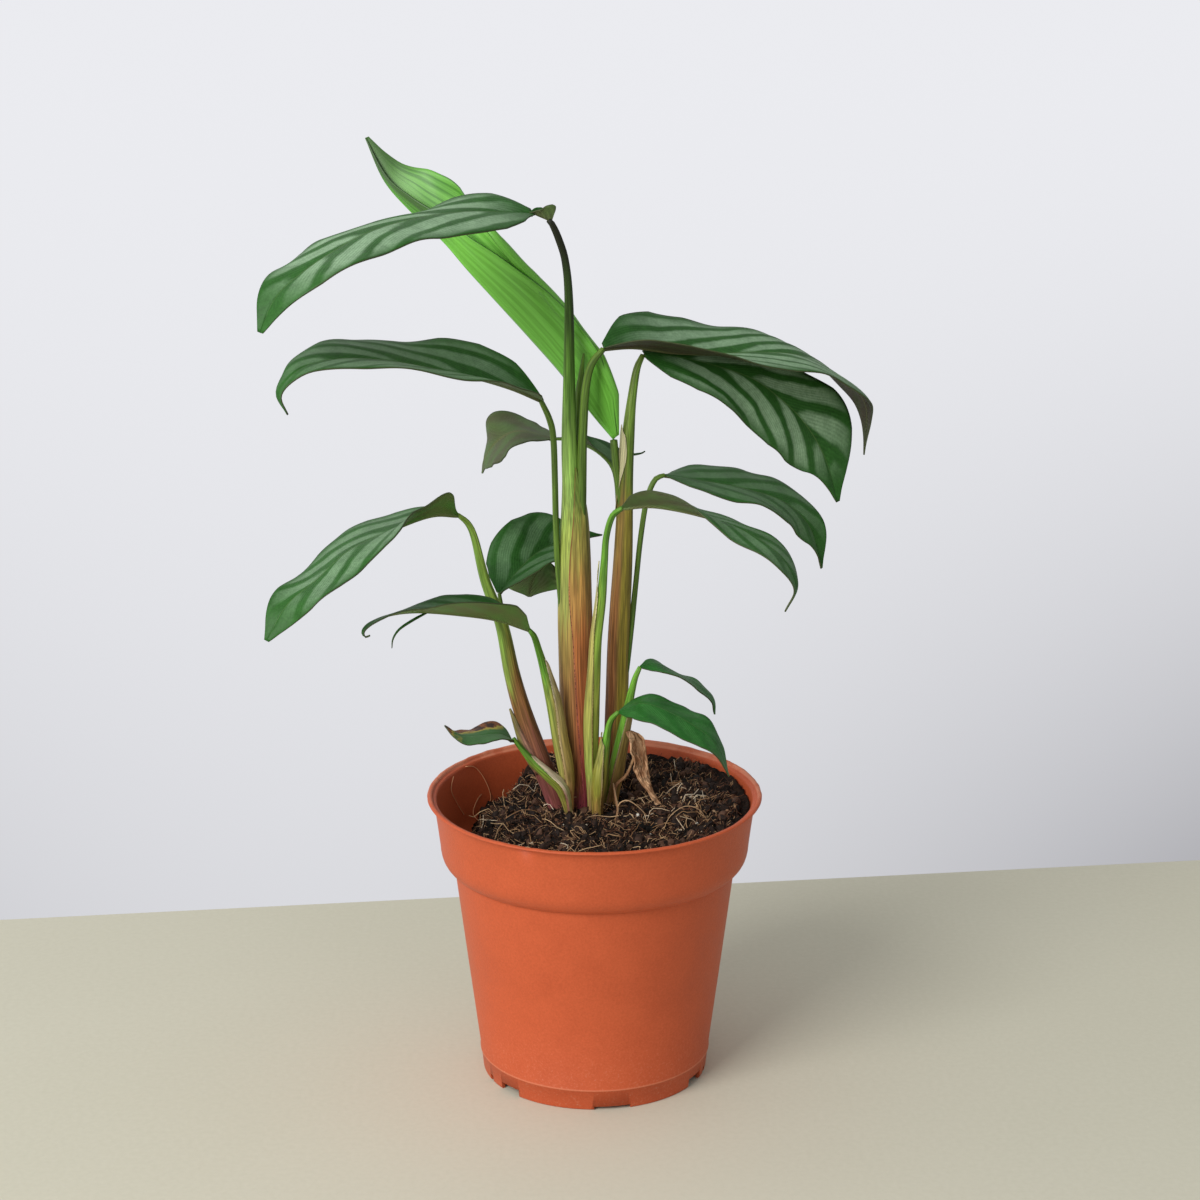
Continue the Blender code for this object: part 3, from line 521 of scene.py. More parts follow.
def attribute(paint, name, output="Fac"):
    """What is kept on the points of a mesh: a number, or else its "Vector"."""
    return paint.node("ShaderNodeAttribute", None, output, attribute_name=name)


def place(paint):
    """Where a point is, in metres."""
    return paint.node("ShaderNodeTexCoord", None, "Object")


def height_mm(paint):
    return place(paint).axes()[2] * 1000.0


# ---------------------------------------------------------------- materials

def blade_paint(name, dark, silver):
    """Upper side: dark bands along the side veins, silver green between them."""
    mat, paint = new_paint(name, 0.45, 0.14)
    length, across, silvery = attribute(paint, "blade", "Vector").axes()
    spot = place(paint)
    vein = attribute(paint, "vein") + 0.5 * across.math("GREATER_THAN", 0.0)
    beat = (vein + 0.3 * spot.speckle(90.0, 2.0)).math("FRACT")
    out = abs(across)
    gap = abs(beat - 0.5) - 0.2 * (1 - out.between(0.0, 0.3))
    band = 1 - (gap + 0.05 * (spot.speckle(700.0) - 0.5)).between(0.09, 0.27)
    rim = out.between(0.72, 1.0)
    spine = 1 - out.between(0.015, 0.07)
    ends = length.between(0.0, 0.22) * (1 - length.between(0.72, 0.96))
    green = 1 - (1 - band) * (1 - 0.85 * rim) * (1 - 0.6 * spine) * ends * silvery
    inside = (1 - length.between(0.75, 0.95)) * (1 - out.between(0.6, 1.0))
    fine = (vein * 60.0).math("SINE") * inside
    cloud = spot.speckle(260.0, 4.0)
    grain = spot.speckle(1500.0, 2.0)
    tone = 0.5 + 0.12 * fine + 0.9 * (cloud - 0.5) + 0.8 * (grain - 0.5)
    lit = tone.tint((0.5, 0.56, 0.5), (1.5, 1.44, 1.5))
    color = paint.node("ShaderNodeMix", {0: 1.0, 6: green.tint(silver, dark), 7: lit}, 2,
                       data_type="RGBA", blend_type="MULTIPLY")
    color = (0.5 * (1 - out.between(0.0, 0.022))).tint(color, (0.12, 0.2, 0.06))
    color = (0.7 * out.between(0.96, 1.0)).tint(color, (0.03, 0.06, 0.015))
    bumps = 0.3 * fine + 0.7 * cloud + 0.4 * grain + 1.2 * spine
    return finished(mat, color, 0.5 - 0.1 * green + 0.12 * (cloud - 0.5), bumps.relief(0.00008, 0.8))


def underside_paint(name, color, veil):
    """Underside: plain green or olive, clouded, with fine lines along its side veins."""
    mat, paint = new_paint(name, 0.5, 0.4)
    out = abs(attribute(paint, "blade", "Vector").axes()[1])
    vein = attribute(paint, "vein")
    fine = (vein * 88.0).math("SINE")
    cloud = place(paint).speckle(120.0, 4.0)
    beat = (vein * 6.283).math("SINE")
    shade = (cloud + 0.12 * beat).between(0.3, 0.72).tint(color, veil)
    keel = 1 - out.between(0.03, 0.09)
    shade = (0.6 * keel).tint(shade, (0.16, 0.17, 0.06))
    shade = (0.5 * out.between(0.95, 1.0)).tint(shade, shade.scaled(0.5))
    shade = (0.3 * (0.5 - 0.5 * fine)).tint(shade, shade.scaled(0.4))
    return finished(mat, shade, normal=(fine + cloud).relief(0.00008))


def edge_paint():
    """Dark rim between the two sides of a blade."""
    mat, paint = new_paint("blade_edge", 0.6)
    cloud = place(paint).speckle(400.0)
    return finished(mat, cloud.tint((0.02, 0.04, 0.01), (0.08, 0.1, 0.03)))


def young_paint(name, low, high):
    """New blade: fresh green with streaks along it, darker towards the tip, with painted shade along its
    curled margin and painted highlights on its streaks near the top.
    """
    mat, paint = new_paint(name, 0.4, 0.35)
    length, across = attribute(paint, "blade", "Vector").axes()[:2]
    run = paint.vector(length * 1.4, across * 9.0, 0.0)
    streak = run.speckle(1.0)
    thin = run.speckle(4.0, 2.0)
    upper = length.between(0.62, 0.76)
    shade = streak.between(0.36, 0.62).tint(low, high)
    shade = (0.5 * upper).tint(shade, (0.05, 0.2, 0.03))
    # Painted highlights: this darkening of the upper part spares its light streaks.
    shade = (0.5 * upper * (1 - streak.between(0.4, 0.56))).tint(shade, (0.04, 0.14, 0.025))
    shade = (0.2 * (1 - thin.between(0.4, 0.55))).tint(shade, shade.scaled(0.6))
    # Painted shade: a dark strip along the curled near margin, near the top.
    painted_shade_strip = length.between(0.66, 0.76) * (1 - across.between(-0.75, -0.25))
    shade = (0.85 * painted_shade_strip).tint(shade, (0.05, 0.11, 0.03))
    shade = (0.75 * length.between(0.8, 0.94)).tint(shade, (0.045, 0.09, 0.03))
    return finished(mat, shade, normal=(thin + streak).relief(0.00006, 0.6))


def burnt_paint():
    """Blade with a scorched far margin and tip, and a yellow line round the scorch."""
    mat, paint = new_paint("burnt_blade", 0.55)
    length, across = attribute(paint, "blade", "Vector").axes()[:2]
    cloud = place(paint).speckle(300.0, 4.0)
    uneven = cloud - 0.5
    margin = (across + 0.9 * uneven) * length.between(0.05, 0.2)
    reach = margin.math("MAXIMUM", (length + 0.3 * uneven) * 4.0 - 2.9)
    shade = reach.between(0.3, 0.55).tint((0.045, 0.15, 0.035), (0.4, 0.34, 0.06))
    shade = reach.between(0.56, 0.64).tint(shade, (0.22, 0.08, 0.03))
    shade = (reach.between(0.6, 0.7) * cloud.between(0.45, 0.6)).tint(shade, (0.05, 0.025, 0.02))
    return finished(mat, shade, normal=cloud.relief(0.0003, 0.8))


def dead_paint(name, low, high):
    """Dry tissue: pale and dark fibres along it, with cracks."""
    mat, paint = new_paint(name, 0.75, 0.2)
    length, across = attribute(paint, "blade", "Vector").axes()[:2]
    streak = paint.vector(length * 1.5, across * 5.0, 3.0).speckle(2.4, 4.0)
    cloud = place(paint).speckle(380.0, 4.0)
    shade = (0.6 * streak + 0.4 * cloud).between(0.42, 0.6).tint(low, high)
    shade = (0.8 * (1 - streak.between(0.3, 0.42))).tint(shade, (0.07, 0.035, 0.02))
    shade = (0.7 * cloud.between(0.56, 0.68)).tint(shade, (0.12, 0.055, 0.03))
    return finished(mat, shade, normal=(streak + cloud).relief(0.0006))


def layered(wire, stops):
    """Colour that goes through the stops: a value, and the red, green and blue reached there."""
    shade = stops[0][1:]
    for (low, *_), (high, *color) in zip(stops, stops[1:]):
        shade = wire.between(low, high).tint(shade, color)
    return shade


def uneven_height(paint):
    """Slow unevenness about nought along a stalk, and the height (mm) made uneven by it."""
    uneven = attribute(paint, "streak", "Vector").speckle(0.6, 2.0) - 0.5
    return uneven, height_mm(paint) + 30.0 * uneven


def lined(mat, paint, shade):
    """The material of a stalk: light and dark lines along it, and shallow grooves with them."""
    run = attribute(paint, "streak", "Vector")
    fine = run.speckle(2.3, 1.5)
    broad = run.speckle(0.8, 1.5)
    shade = (0.6 * (1 - fine.between(0.38, 0.5))).tint(shade, shade.scaled(0.45))
    shade = (0.6 * fine.between(0.52, 0.66)).tint(shade, shade.scaled(1.6))
    shade = (0.45 * (1 - broad.between(0.34, 0.5))).tint(shade, shade.scaled(0.5))
    shade = (0.4 * broad.between(0.54, 0.68)).tint(shade, shade.scaled(1.5))
    return finished(mat, shade, 0.38 + 0.2 * fine, (fine + 0.6 * broad).relief(0.00025, 0.8))


def stalk_paint(name, left, right):
    """Stalk: its colours by height (mm), up its left and its right side; its far right in painted shade."""
    mat, paint = new_paint(name, 0.42, 0.3)
    uneven, height = uneven_height(paint)
    side = attribute(paint, "side") + 0.7 * uneven
    shade = side.between(-0.45, 0.25).tint(layered(height, left), layered(height, right))
    # Painted shade: the far right side darker.
    shade = side.between(0.5, 0.95).tint(shade, shade.scaled(0.6))
    return lined(mat, paint, shade)


def sheath_paint(name, colors, margins, width=0.1, shaded=1.0):
    """Sheath: its colours by height (mm), those of its margins, which carry dark hairs, and painted shade on
    its right.
    """
    mat, paint = new_paint(name, 0.45, 0.3)
    uneven, height = uneven_height(paint)
    across = attribute(paint, "side")
    shade = layered(height, colors)
    # Painted shade: the right side keeps only this share of its colour.
    shade = (across + uneven).between(-0.1, 0.5).tint(shade, shade.scaled(shaded))
    edge = (abs(across) + 0.5 * width * uneven).between(1 - width, 1 - 0.4 * width)
    shade = edge.tint(shade, layered(height, margins))
    dots = place(paint).speckle(1500.0, 1.0).between(0.5, 0.56)
    hairs = abs(across).between(0.93, 0.97) * dots * (1 - height.between(160.0, 176.0))
    shade = (0.8 * hairs).tint(shade, (0.06, 0.02, 0.012))
    return lined(mat, paint, shade)


def pot_paint():
    """Moulded plastic: satin, faintly mottled, with scuffs near the foot and a painted highlight on the lip.
    """
    mat, paint = new_paint("pot_plastic", 0.42, 0.22)
    spot = place(paint)
    height = height_mm(paint)
    grain = spot.speckle(1400.0, 3.0, 0.7)
    mottle = spot.speckle(90.0, 5.0, 0.6)
    tone = 0.3 * mottle + 0.05 * spot.speckle(22.0) + 0.65 * grain
    shade = tone.between(0.25, 0.75).tint((0.49, 0.088, 0.031), (0.61, 0.118, 0.043))
    dust = grain.between(0.56, 0.72) * (1 - height.between(4.0, 30.0))
    shade = (0.35 * dust).tint(shade, (0.5, 0.3, 0.2))
    # Painted highlight: a pale, patchy line along the top of the lip.
    lip_highlight = height.between(95.5, 95.9) * (0.35 + 0.65 * mottle.between(0.44, 0.56))
    shade = (0.4 * lip_highlight).tint(shade, (0.85, 0.4, 0.25))
    ridge = height.between(6.8, 6.95) * (1 - height.between(7.3, 7.5))
    shade = (0.3 * ridge).tint(shade, (0.8, 0.34, 0.2))
    return finished(mat, shade, 0.36 + 0.2 * mottle, (grain + 0.5 * mottle).relief(0.00014, 0.6))


def peat_paint(name, dark, light, scale):
    """Damp peat, or a root covered in it."""
    mat, paint = new_paint(name, 0.9, 0.2)
    cloud = place(paint).speckle(scale, 6.0, 0.7)
    fine = place(paint).speckle(scale * 5, 4.0, 0.7)
    shade = (0.6 * cloud + 0.4 * fine).between(0.4, 0.68).tint(dark, light)
    return finished(mat, shade, normal=(cloud + fine).relief(0.0008))


def litter_paint(name, colors, roughness=0.75):
    """Loose bits: each has its own tint between three colours."""
    mat, paint = new_paint(name, roughness, 0.25)
    cloud = place(paint).speckle(700.0)
    tone = attribute(paint, "tint") + 0.3 * (cloud - 0.5)
    shade = tone.between(0.1, 0.5).tint(colors[0], colors[1])
    shade = tone.between(0.6, 0.95).tint(shade, colors[2])
    return finished(mat, shade, normal=cloud.relief(0.0002, 0.8))


# ---------------------------------------------------------------- shapes

def add_object(name, data):
    obj = bpy.data.objects.new(name, data)
    scene.collection.objects.link(obj)
    return obj


def add_mesh(name, verts, faces, mats, sides=None):
    """A smooth mesh; sides gives each face its place in the list of materials."""
    mesh = bpy.data.meshes.new(name)
    mesh.from_pydata(np.asarray(verts).tolist(), [], faces)
    for mat in mats:
        mesh.materials.append(mat)
    if sides is not None:
        mesh.polygons.foreach_set("material_index", sides)
    mesh.shade_smooth()
    return add_object(name, mesh)


def keep(obj, name, values):
    """Stores a number or a vector for each point of a mesh."""
    values = np.asarray(values, np.float32)
    if values.ndim == 1:
        obj.data.attributes.new(name, "FLOAT", "POINT").data.foreach_set("value", values)
    else:
        obj.data.attributes.new(name, "FLOAT_VECTOR", "POINT").data.foreach_set("vector", values.ravel())


def settle(obj, slot, *nodes):
    """The piece rides on the plant and stands for these CAD nodes."""
    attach(obj, "root")
    if nodes:
        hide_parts(*nodes)


def take_shape(obj, step):
    """Turns what a modifier makes of an object into its plain mesh."""
    bpy.context.view_layer.update()
    made = bpy.data.meshes.new_from_object(obj.evaluated_get(bpy.context.evaluated_depsgraph_get()))
    obj.modifiers.remove(step)
    obj.data = made


def smooth_path(points, count):
    """Even steps along a smooth run through the points."""
    p = np.array(points, float)
    p = np.vstack([2 * p[0] - p[1], p, 2 * p[-1] - p[-2]])
    run = []
    for a, b, c, d in zip(p[:-3], p[1:-2], p[2:-1], p[3:]):
        for t in np.arange(0, 1, 1 / 16):
            run.append(0.5 * (2 * b + (c - a) * t + (2 * a - 5 * b + 4 * c - d) * t ** 2
                              + (3 * b - a - 3 * c + d) * t ** 3))
    run.append(p[-2])
    run = np.array(run)
    step = np.linalg.norm(np.diff(run[:, :3], axis=0), axis=1)
    walked = np.concatenate([[0.0], np.cumsum(step)])
    even = np.linspace(0, walked[-1], count + 1)
    return np.stack([np.interp(even, walked, column) for column in run.T], axis=1)


def along(values, s):
    """Values given at even steps, read smoothly at the shares s."""
    v = np.array(values, float)
    x = np.linspace(0, 1, len(v))
    slope = np.gradient(v, x)
    i = np.clip(np.searchsorted(x, s, side="right") - 1, 0, len(v) - 2)
    h = x[i + 1] - x[i]
    t = (s - x[i]) / h
    rise = (3 - 2 * t) * t * t
    return (v[i] * (1 - rise) + v[i + 1] * rise
            + h * slope[i] * t * (1 - t) ** 2 - h * slope[i + 1] * t * t * (1 - t))


def unit(v):
    return v / np.maximum(np.linalg.norm(v, axis=-1, keepdims=True), 1e-12)


def ripple(x, y, seed):
    """Smooth noise between -1 and 1 for arrays of places."""
    flat = [noise.noise(Vector((a, b, seed))) for a, b in zip(np.ravel(x), np.ravel(y))]
    return np.array(flat).reshape(np.shape(x)) * 1.6


def turns(count):
    """Even angles round a circle."""
    return [2 * math.pi * i / count for i in range(count)]


def face_outward(obj):
    bm = bmesh.new()
    bm.from_mesh(obj.data)
    bmesh.ops.recalc_face_normals(bm, faces=bm.faces)
    bm.to_mesh(obj.data)
    bm.free()


def shell_faces(rows, columns, first):
    """Faces of a thin closed sheet: side 0 above, 1 below, 2 round the rim."""
    count = rows * columns
    faces, sides = [], []
    for r in range(rows - 1):
        for c in range(columns - 1):
            a = first + r * columns + c
            b = a + count
            faces.append((a, a + 1, a + columns + 1, a + columns))
            faces.append((b, b + columns, b + columns + 1, b + 1))
            sides += [0, 1]
    border = [r * columns for r in range(rows)]
    border += [count - columns + c for c in range(1, columns)]
    border += [r * columns + columns - 1 for r in range(rows - 2, -1, -1)]
    border += range(columns - 2, 0, -1)
    for a, b in zip(border, border[1:] + border[:1]):
        faces.append((first + a, first + b, first + b + count, first + a + count))
        sides.append(2)
    return faces, sides


def tube_faces(rows, sides):
    """Faces of a closed tube; its last two points are the middles of its ends."""
    faces = []
    for r in range(rows):
        for i in range(sides):
            j = (i + 1) % sides
            faces.append((r * sides + i, r * sides + j, (r + 1) * sides + j, (r + 1) * sides + i))
    foot = (rows + 1) * sides
    for i in range(sides):
        j = (i + 1) % sides
        faces.append((foot, j, i))
        faces.append((foot + 1, rows * sides + i, rows * sides + j))
    return faces


# ---------------------------------------------------------------- blades

def half_reach(side, face, width, tilt, curl, hook, share, steps=16):
    """Step out from the midrib, turning by the curl on the way and by the hook near the edge."""
    reach = np.zeros_like(side)
    for i in range(steps):
        walked = abs(share) * (i + 0.5) / steps
        angle = tilt + curl * walked + hook * walked ** 4
        way = np.cos(angle)[:, None] * side + np.sin(angle)[:, None] * face
        reach += way * (share * width / steps)[:, None]
    return reach


def blade_grid(leaf, rows, shares):
    """Points of a blade (mm), from base to tip and from the near to the far edge."""
    rib = smooth_path(leaf["rib"], rows)
    s = np.linspace(0, 1, rows + 1)
    tangent = unit(np.gradient(rib, axis=0))
    chord = rib[-1] - rib[0]
    level = np.array([-chord[1], chord[0], 0.0])
    level *= np.sign(level[1]) / np.linalg.norm(level)
    side = unit(level - (tangent @ level)[:, None] * tangent)
    face = np.cross(tangent, side)
    face *= np.sign(face[rows // 3, 2])
    width = leaf["half"] * np.interp(s, BLADE_S, BLADE_W) * along(leaf.get("wide", [1, 1]), s)
    columns = []
    for share in shares:
        half = "far" if share >= 0 else "near"
        tilt = np.radians(along(leaf[half], s))
        curl = np.radians(along(leaf.get(half + "_curl", [0, 0]), s))
        hook = np.radians(along(leaf.get(half + "_hook", [0, 0]), s))
        reach = width * along(leaf.get(half + "_wide", [1, 1]), s)
        columns.append(rib + half_reach(side, face, reach, tilt, curl, hook, share))
    walked = s * np.linalg.norm(np.diff(rib, axis=0), axis=1).sum()
    return np.stack(columns, axis=1), walked, width, s


def blade_sheets(leaf, seed, rows, columns):
    """Upper and lower points of a blade, quilted along its side veins, with a keel below."""
    t = np.linspace(-1, 1, columns + 1)
    shares = np.sign(t) * np.abs(t) ** 1.25
    grid, walked, width, s = blade_grid(leaf, rows, shares)
    u, v = np.meshgrid(s, shares, indexing="ij")
    off = np.abs(v) * width[:, None]
    slope = leaf.get("slope", 1.5)
    vein = (walked[:, None] - slope * off - 0.03 * off ** 2 + leaf["start"]) / leaf["band"]
    normal = unit(np.cross(np.gradient(grid, axis=0), np.gradient(grid, axis=1)))
    if normal[rows // 3, columns // 2 + 1, 2] < 0:
        normal = -normal
    size = leaf["half"] / BLADE_HALF
    belly = np.abs(v) * (1 - np.abs(v) ** 3) * np.sin(np.pi * u) ** 0.5
    swell = SWELL * size * belly * np.sin(2 * np.pi * (vein + 0.5 * (v > 0)))
    waves = WAVES * size * np.abs(v) ** 3 * ripple(u * 7, np.sign(v) * 5.0, seed) * np.sin(np.pi * u) ** 0.5
    folds = leaf.get("crumple", 0) * ripple(u * 9 + v, v * 3, seed + 4)
    grid = grid + normal * (swell + waves + folds)[..., None]
    groove = -GROOVE * np.exp(-(v / 0.05) ** 2)
    keel = (KEEL_FALL * (1 - u) + KEEL_TIP) * size * np.exp(-(v / 0.06) ** 2)
    top = grid + normal * (HALF_THICK + groove)[..., None]
    bottom = grid - normal * (HALF_THICK + keel)[..., None]
    return top, bottom, np.stack([u, v, np.full_like(u, leaf["silver"])], axis=-1), vein


def blade(name, node, leaf, mats, slot, seed):
    """A blade as a thin closed shell, with the small flap that some have."""
    parts = [blade_sheets(leaf, seed, *BLADE_GRID)]
    if "flap" in leaf:
        parts.append(blade_sheets(leaf["flap"], seed + 9, *FLAP_GRID))
    verts, faces, sides, marks, veins = [], [], [], [], []
    for top, bottom, mark, vein in parts:
        new_faces, new_sides = shell_faces(top.shape[0], top.shape[1], sum(len(v) for v in verts))
        verts += [top.reshape(-1, 3), bottom.reshape(-1, 3)]
        marks += [mark.reshape(-1, 3)] * 2
        veins += [vein.ravel()] * 2
        faces += new_faces
        sides += new_sides
    obj = add_mesh(name, np.concatenate(verts) * MM, faces, mats, sides)
    face_outward(obj)
    keep(obj, "vein", np.concatenate(veins))
    keep(obj, "blade", np.concatenate(marks))
    settle(obj, slot, node)


# ---------------------------------------------------------------- stalks

def stalk_frame(path):
    """Tangent, front and right directions along a stalk."""
    tangent = unit(np.gradient(path[:, :3], axis=0))
    front = unit(np.array([0.0, -1.0, 0.0]) - tangent * (-tangent[:, 1])[:, None])
    return tangent, front, np.cross(tangent, front)


def round_about(angle, front, right):
    """Directions at these angles about a stalk, from its front to its right."""
    return np.cos(angle)[..., None] * front[:, None] + np.sin(angle)[..., None] * right[:, None]


def stalk(name, points, mat, slot, seed, nodes=(), sides=28):
    """A stalk through (x, y, z, radius) points, with shallow ribs along it."""
    length = sum(math.dist(a[:3], b[:3]) for a, b in zip(points, points[1:]))
    rows = max(12, int(length / STALK_STEP))
    path = smooth_path(points, rows)
    tangent, front, right = stalk_frame(path)
    angle = np.linspace(0, 2 * np.pi, sides, endpoint=False)
    a, z = np.meshgrid(angle, path[:, 2], indexing="xy")
    lobes = np.cos(5 * a + seed) + 0.7 * np.cos(9 * a + 2.1 * seed + z / 60)
    bumps = ripple(np.cos(a) * 1.5 + z * 0.05, np.sin(a) * 1.5, seed)
    radius = path[:, 3][:, None] * (1 + 0.02 * lobes + 0.03 * bumps)
    verts = path[:, None, :3] + radius[..., None] * round_about(a, front, right)
    ends = [path[0, :3], path[-1, :3] + tangent[-1] * 0.3 * path[-1, 3]]
    faces = tube_faces(rows, sides)
    obj = add_mesh(name, np.concatenate([verts.reshape(-1, 3), ends]) * MM, faces, [mat])
    walked = np.linspace(0, length, rows + 1)[:, None]
    streak = np.stack([radius * np.cos(a), radius * np.sin(a), 0 * a + walked * 0.03 + 7 * seed], -1)
    keep(obj, "streak", np.concatenate([streak.reshape(-1, 3), [streak[0, 0], streak[-1, 0]]]))
    keep(obj, "side", np.concatenate([np.sin(a).ravel(), [0, 0]]))
    settle(obj, slot, *nodes)


def sheath(name, points, low, high, left, right, mat, seed):
    """A thin shell clasping a stalk between two heights and two margins, with a pointed tip."""
    path = smooth_path(points, SHEATH_STEPS)
    _, front, aside = stalk_frame(path)
    inside = (path[:, 2] >= low) & (path[:, 2] <= high)
    path, front, aside = path[inside], front[inside], aside[inside]
    s = np.linspace(0, 1, len(path))
    first, last = along(left, s), along(right, s)
    last = first + (last - first) * np.clip((1 - s) / 0.12, 0.03, 1) ** 0.7
    across = np.linspace(-1, 1, SHEATH_COLUMNS)
    angle = np.radians(first[:, None] + (last - first)[:, None] * (across + 1) / 2)
    u, v = np.meshgrid(s, across, indexing="ij")
    lift = 0.1 + 0.16 * np.abs(v) + 0.3 * u ** 12 + 0.08 * ripple(u * 6, v * 2, seed)
    radius = path[:, 3][:, None] * 1.02
    ring = round_about(angle, front, aside)
    outer = path[:, None, :3] + (radius + lift + 0.22)[..., None] * ring
    inner = path[:, None, :3] + (radius + lift)[..., None] * ring
    verts = np.concatenate([outer.reshape(-1, 3), inner.reshape(-1, 3)]) * MM
    faces, _ = shell_faces(u.shape[0], u.shape[1], 0)
    obj = add_mesh(name, verts, faces, [mat])
    face_outward(obj)
    height = 0 * angle + path[:, None, 2] * 0.03 + 7 * seed
    streak = np.stack([radius * np.cos(angle), radius * np.sin(angle), height], -1)
    keep(obj, "streak", np.concatenate([streak.reshape(-1, 3)] * 2))
    keep(obj, "side", np.concatenate([v.ravel()] * 2))
    settle(obj, "sheath")


# ---------------------------------------------------------------- pot

def body_radius(z):
    return FOOT_RADIUS + (BODY_RADIUS - FOOT_RADIUS) * z / BAND_Z


def wobble(angle, z):
    """How far out and up a point of the pot lies from its even shape (mm)."""
    dip = LIP_DIP * math.sin(angle) * min(max((z - 76) / 20, 0), 1)
    if z < LIP_Z:
        return 0.0, dip
    coarse = Vector((3 * math.cos(angle), 3 * math.sin(angle), 0.0))
    fine = Vector((14 * math.cos(angle), 14 * math.sin(angle), 4.0))
    nick = NICK_DEPTH * math.exp(-(math.degrees(angle) % 360 - NICK_ANGLE) ** 2 / 6)
    return (0.15 * noise.noise(coarse) + 0.12 * noise.noise(fine) - nick,
            dip + 0.16 * noise.noise(fine) - 0.4 * nick)


def pot_profile():
    """The pot's section (mm), from the axis up the inside, over the lip and back below."""
    inner = [(0, FLOOR_TOP), (20, FLOOR_TOP), (body_radius(FLOOR_TOP) - 3.0, FLOOR_TOP),
             (body_radius(7.2) - 1.5, 7.3), (body_radius(9) - WALL, 9), (body_radius(40) - WALL, 40),
             *BAND_INSIDE, (51.8, 94.0), (52.1, 94.8), (52.5, 94.95), (53.0, 95.05), (53.2, 95.45),
             (53.5, 95.85)]
    lip = [(54.0, 96.02), (54.5, 95.93), (54.85, 95.7), (54.95, 95.4), (54.8, 95.15), (54.3, 95.05),
           (53.5, 95.0), (53.0, 94.75), (52.8, 94.2)]
    band = [(51.7, 86), (50.9, 79.4), (50.75, 77.6), (50.5, 76.2), (50.1, 74.9), (49.5, 73.8),
            (48.8, 72.9), (48.2, 72.3), (47.7, 71.9), (47.4, 71.65), (46.5, 71.6), (46.3, 71.2),
            (46.25, 70.6)]
    body = [(body_radius(40), 40), (body_radius(7.6), 7.6), (body_radius(7) + 0.3, 7.3),
            (body_radius(7) + 0.3, 6.9), (body_radius(6.6), 6.6)]
    foot = [(37.6, 0.5), (37.45, 0.15), (37.2, 0), (36.5, 0), (36.3, 0.2), (36.5, FLOOR_UNDER),
            (20, FLOOR_UNDER), (0, FLOOR_UNDER)]
    return inner + lip + band + body + foot


def make_pot(mat, steps=192):
    """The pot's profile turned about Z, its lip a little uneven, with its openings cut."""
    profile = pot_profile()
    verts = []
    for r, z in profile[1:-1]:
        for angle in turns(steps):
            out, up = wobble(angle, z)
            verts.append(((r + out) * math.cos(angle), (r + out) * math.sin(angle), z + up))
    verts += [(0, 0, profile[0][1]), (0, 0, profile[-1][1])]
    faces = tube_faces(len(profile) - 3, steps)
    pot = add_mesh("grower_pot", np.array(verts) * MM, faces, [mat])
    face_outward(pot)
    cut(pot, foot_notches())
    cut(pot, drain_holes())
    settle(pot, "pot", "pot")


def cut(obj, cutter):
    step = obj.modifiers.new(cutter.name, "BOOLEAN")
    step.operation = "DIFFERENCE"
    step.solver = "EXACT"
    step.object = cutter
    take_shape(obj, step)
    bpy.data.objects.remove(cutter)


def cutter_object(name, bm):
    mesh = bpy.data.meshes.new(name)
    bm.to_mesh(mesh)
    bm.free()
    return add_object(name, mesh)


def foot_notches():
    """Boxes through the foot ring, open downwards."""
    bm = bmesh.new()
    for middle, width, height in NOTCHES:
        across = 2 * FOOT_RADIUS * MM * math.tan(math.radians(width / 2))
        turn = Matrix.Rotation(math.radians(middle), 4, "Z")
        shift = Matrix.Translation((0.0, -FOOT_RADIUS * MM, (height / 2 - 1.0) * MM))
        size = Matrix.Diagonal((across, 7.0 * MM, (height + 2.0) * MM, 1.0))
        bmesh.ops.create_cube(bm, size=1.0, matrix=turn @ shift @ size)
    return cutter_object("foot_notches", bm)


def drain_holes():
    """Round holes through the floor: one in the middle and six about it."""
    middle = Vector((0.0, 0.0, FLOOR_TOP * MM))
    spots = [middle]
    for i in range(6):
        turn = Matrix.Rotation(math.radians(30 + 60 * i), 3, "Z")
        spots.append(turn @ (middle + Vector((HOLE_RING * MM, 0.0, 0.0))))
    bm = bmesh.new()
    for spot in spots:
        bmesh.ops.create_cone(bm, cap_ends=True, segments=32, radius1=HOLE_RADIUS * MM,
                              radius2=HOLE_RADIUS * MM, depth=5 * MM, matrix=Matrix.Translation(spot))
    return cutter_object("drain_holes", bm)


# ---------------------------------------------------------------- soil

def wall_radius(z):
    """Inner radius of the pot (mm) at a height near its band."""
    radii, heights = zip(*BAND_INSIDE, (51.5, 93.5))
    return np.interp(z, heights, radii)


def ramp(value):
    """The value, kept between 0 and 1."""
    return min(max(value, 0), 1)


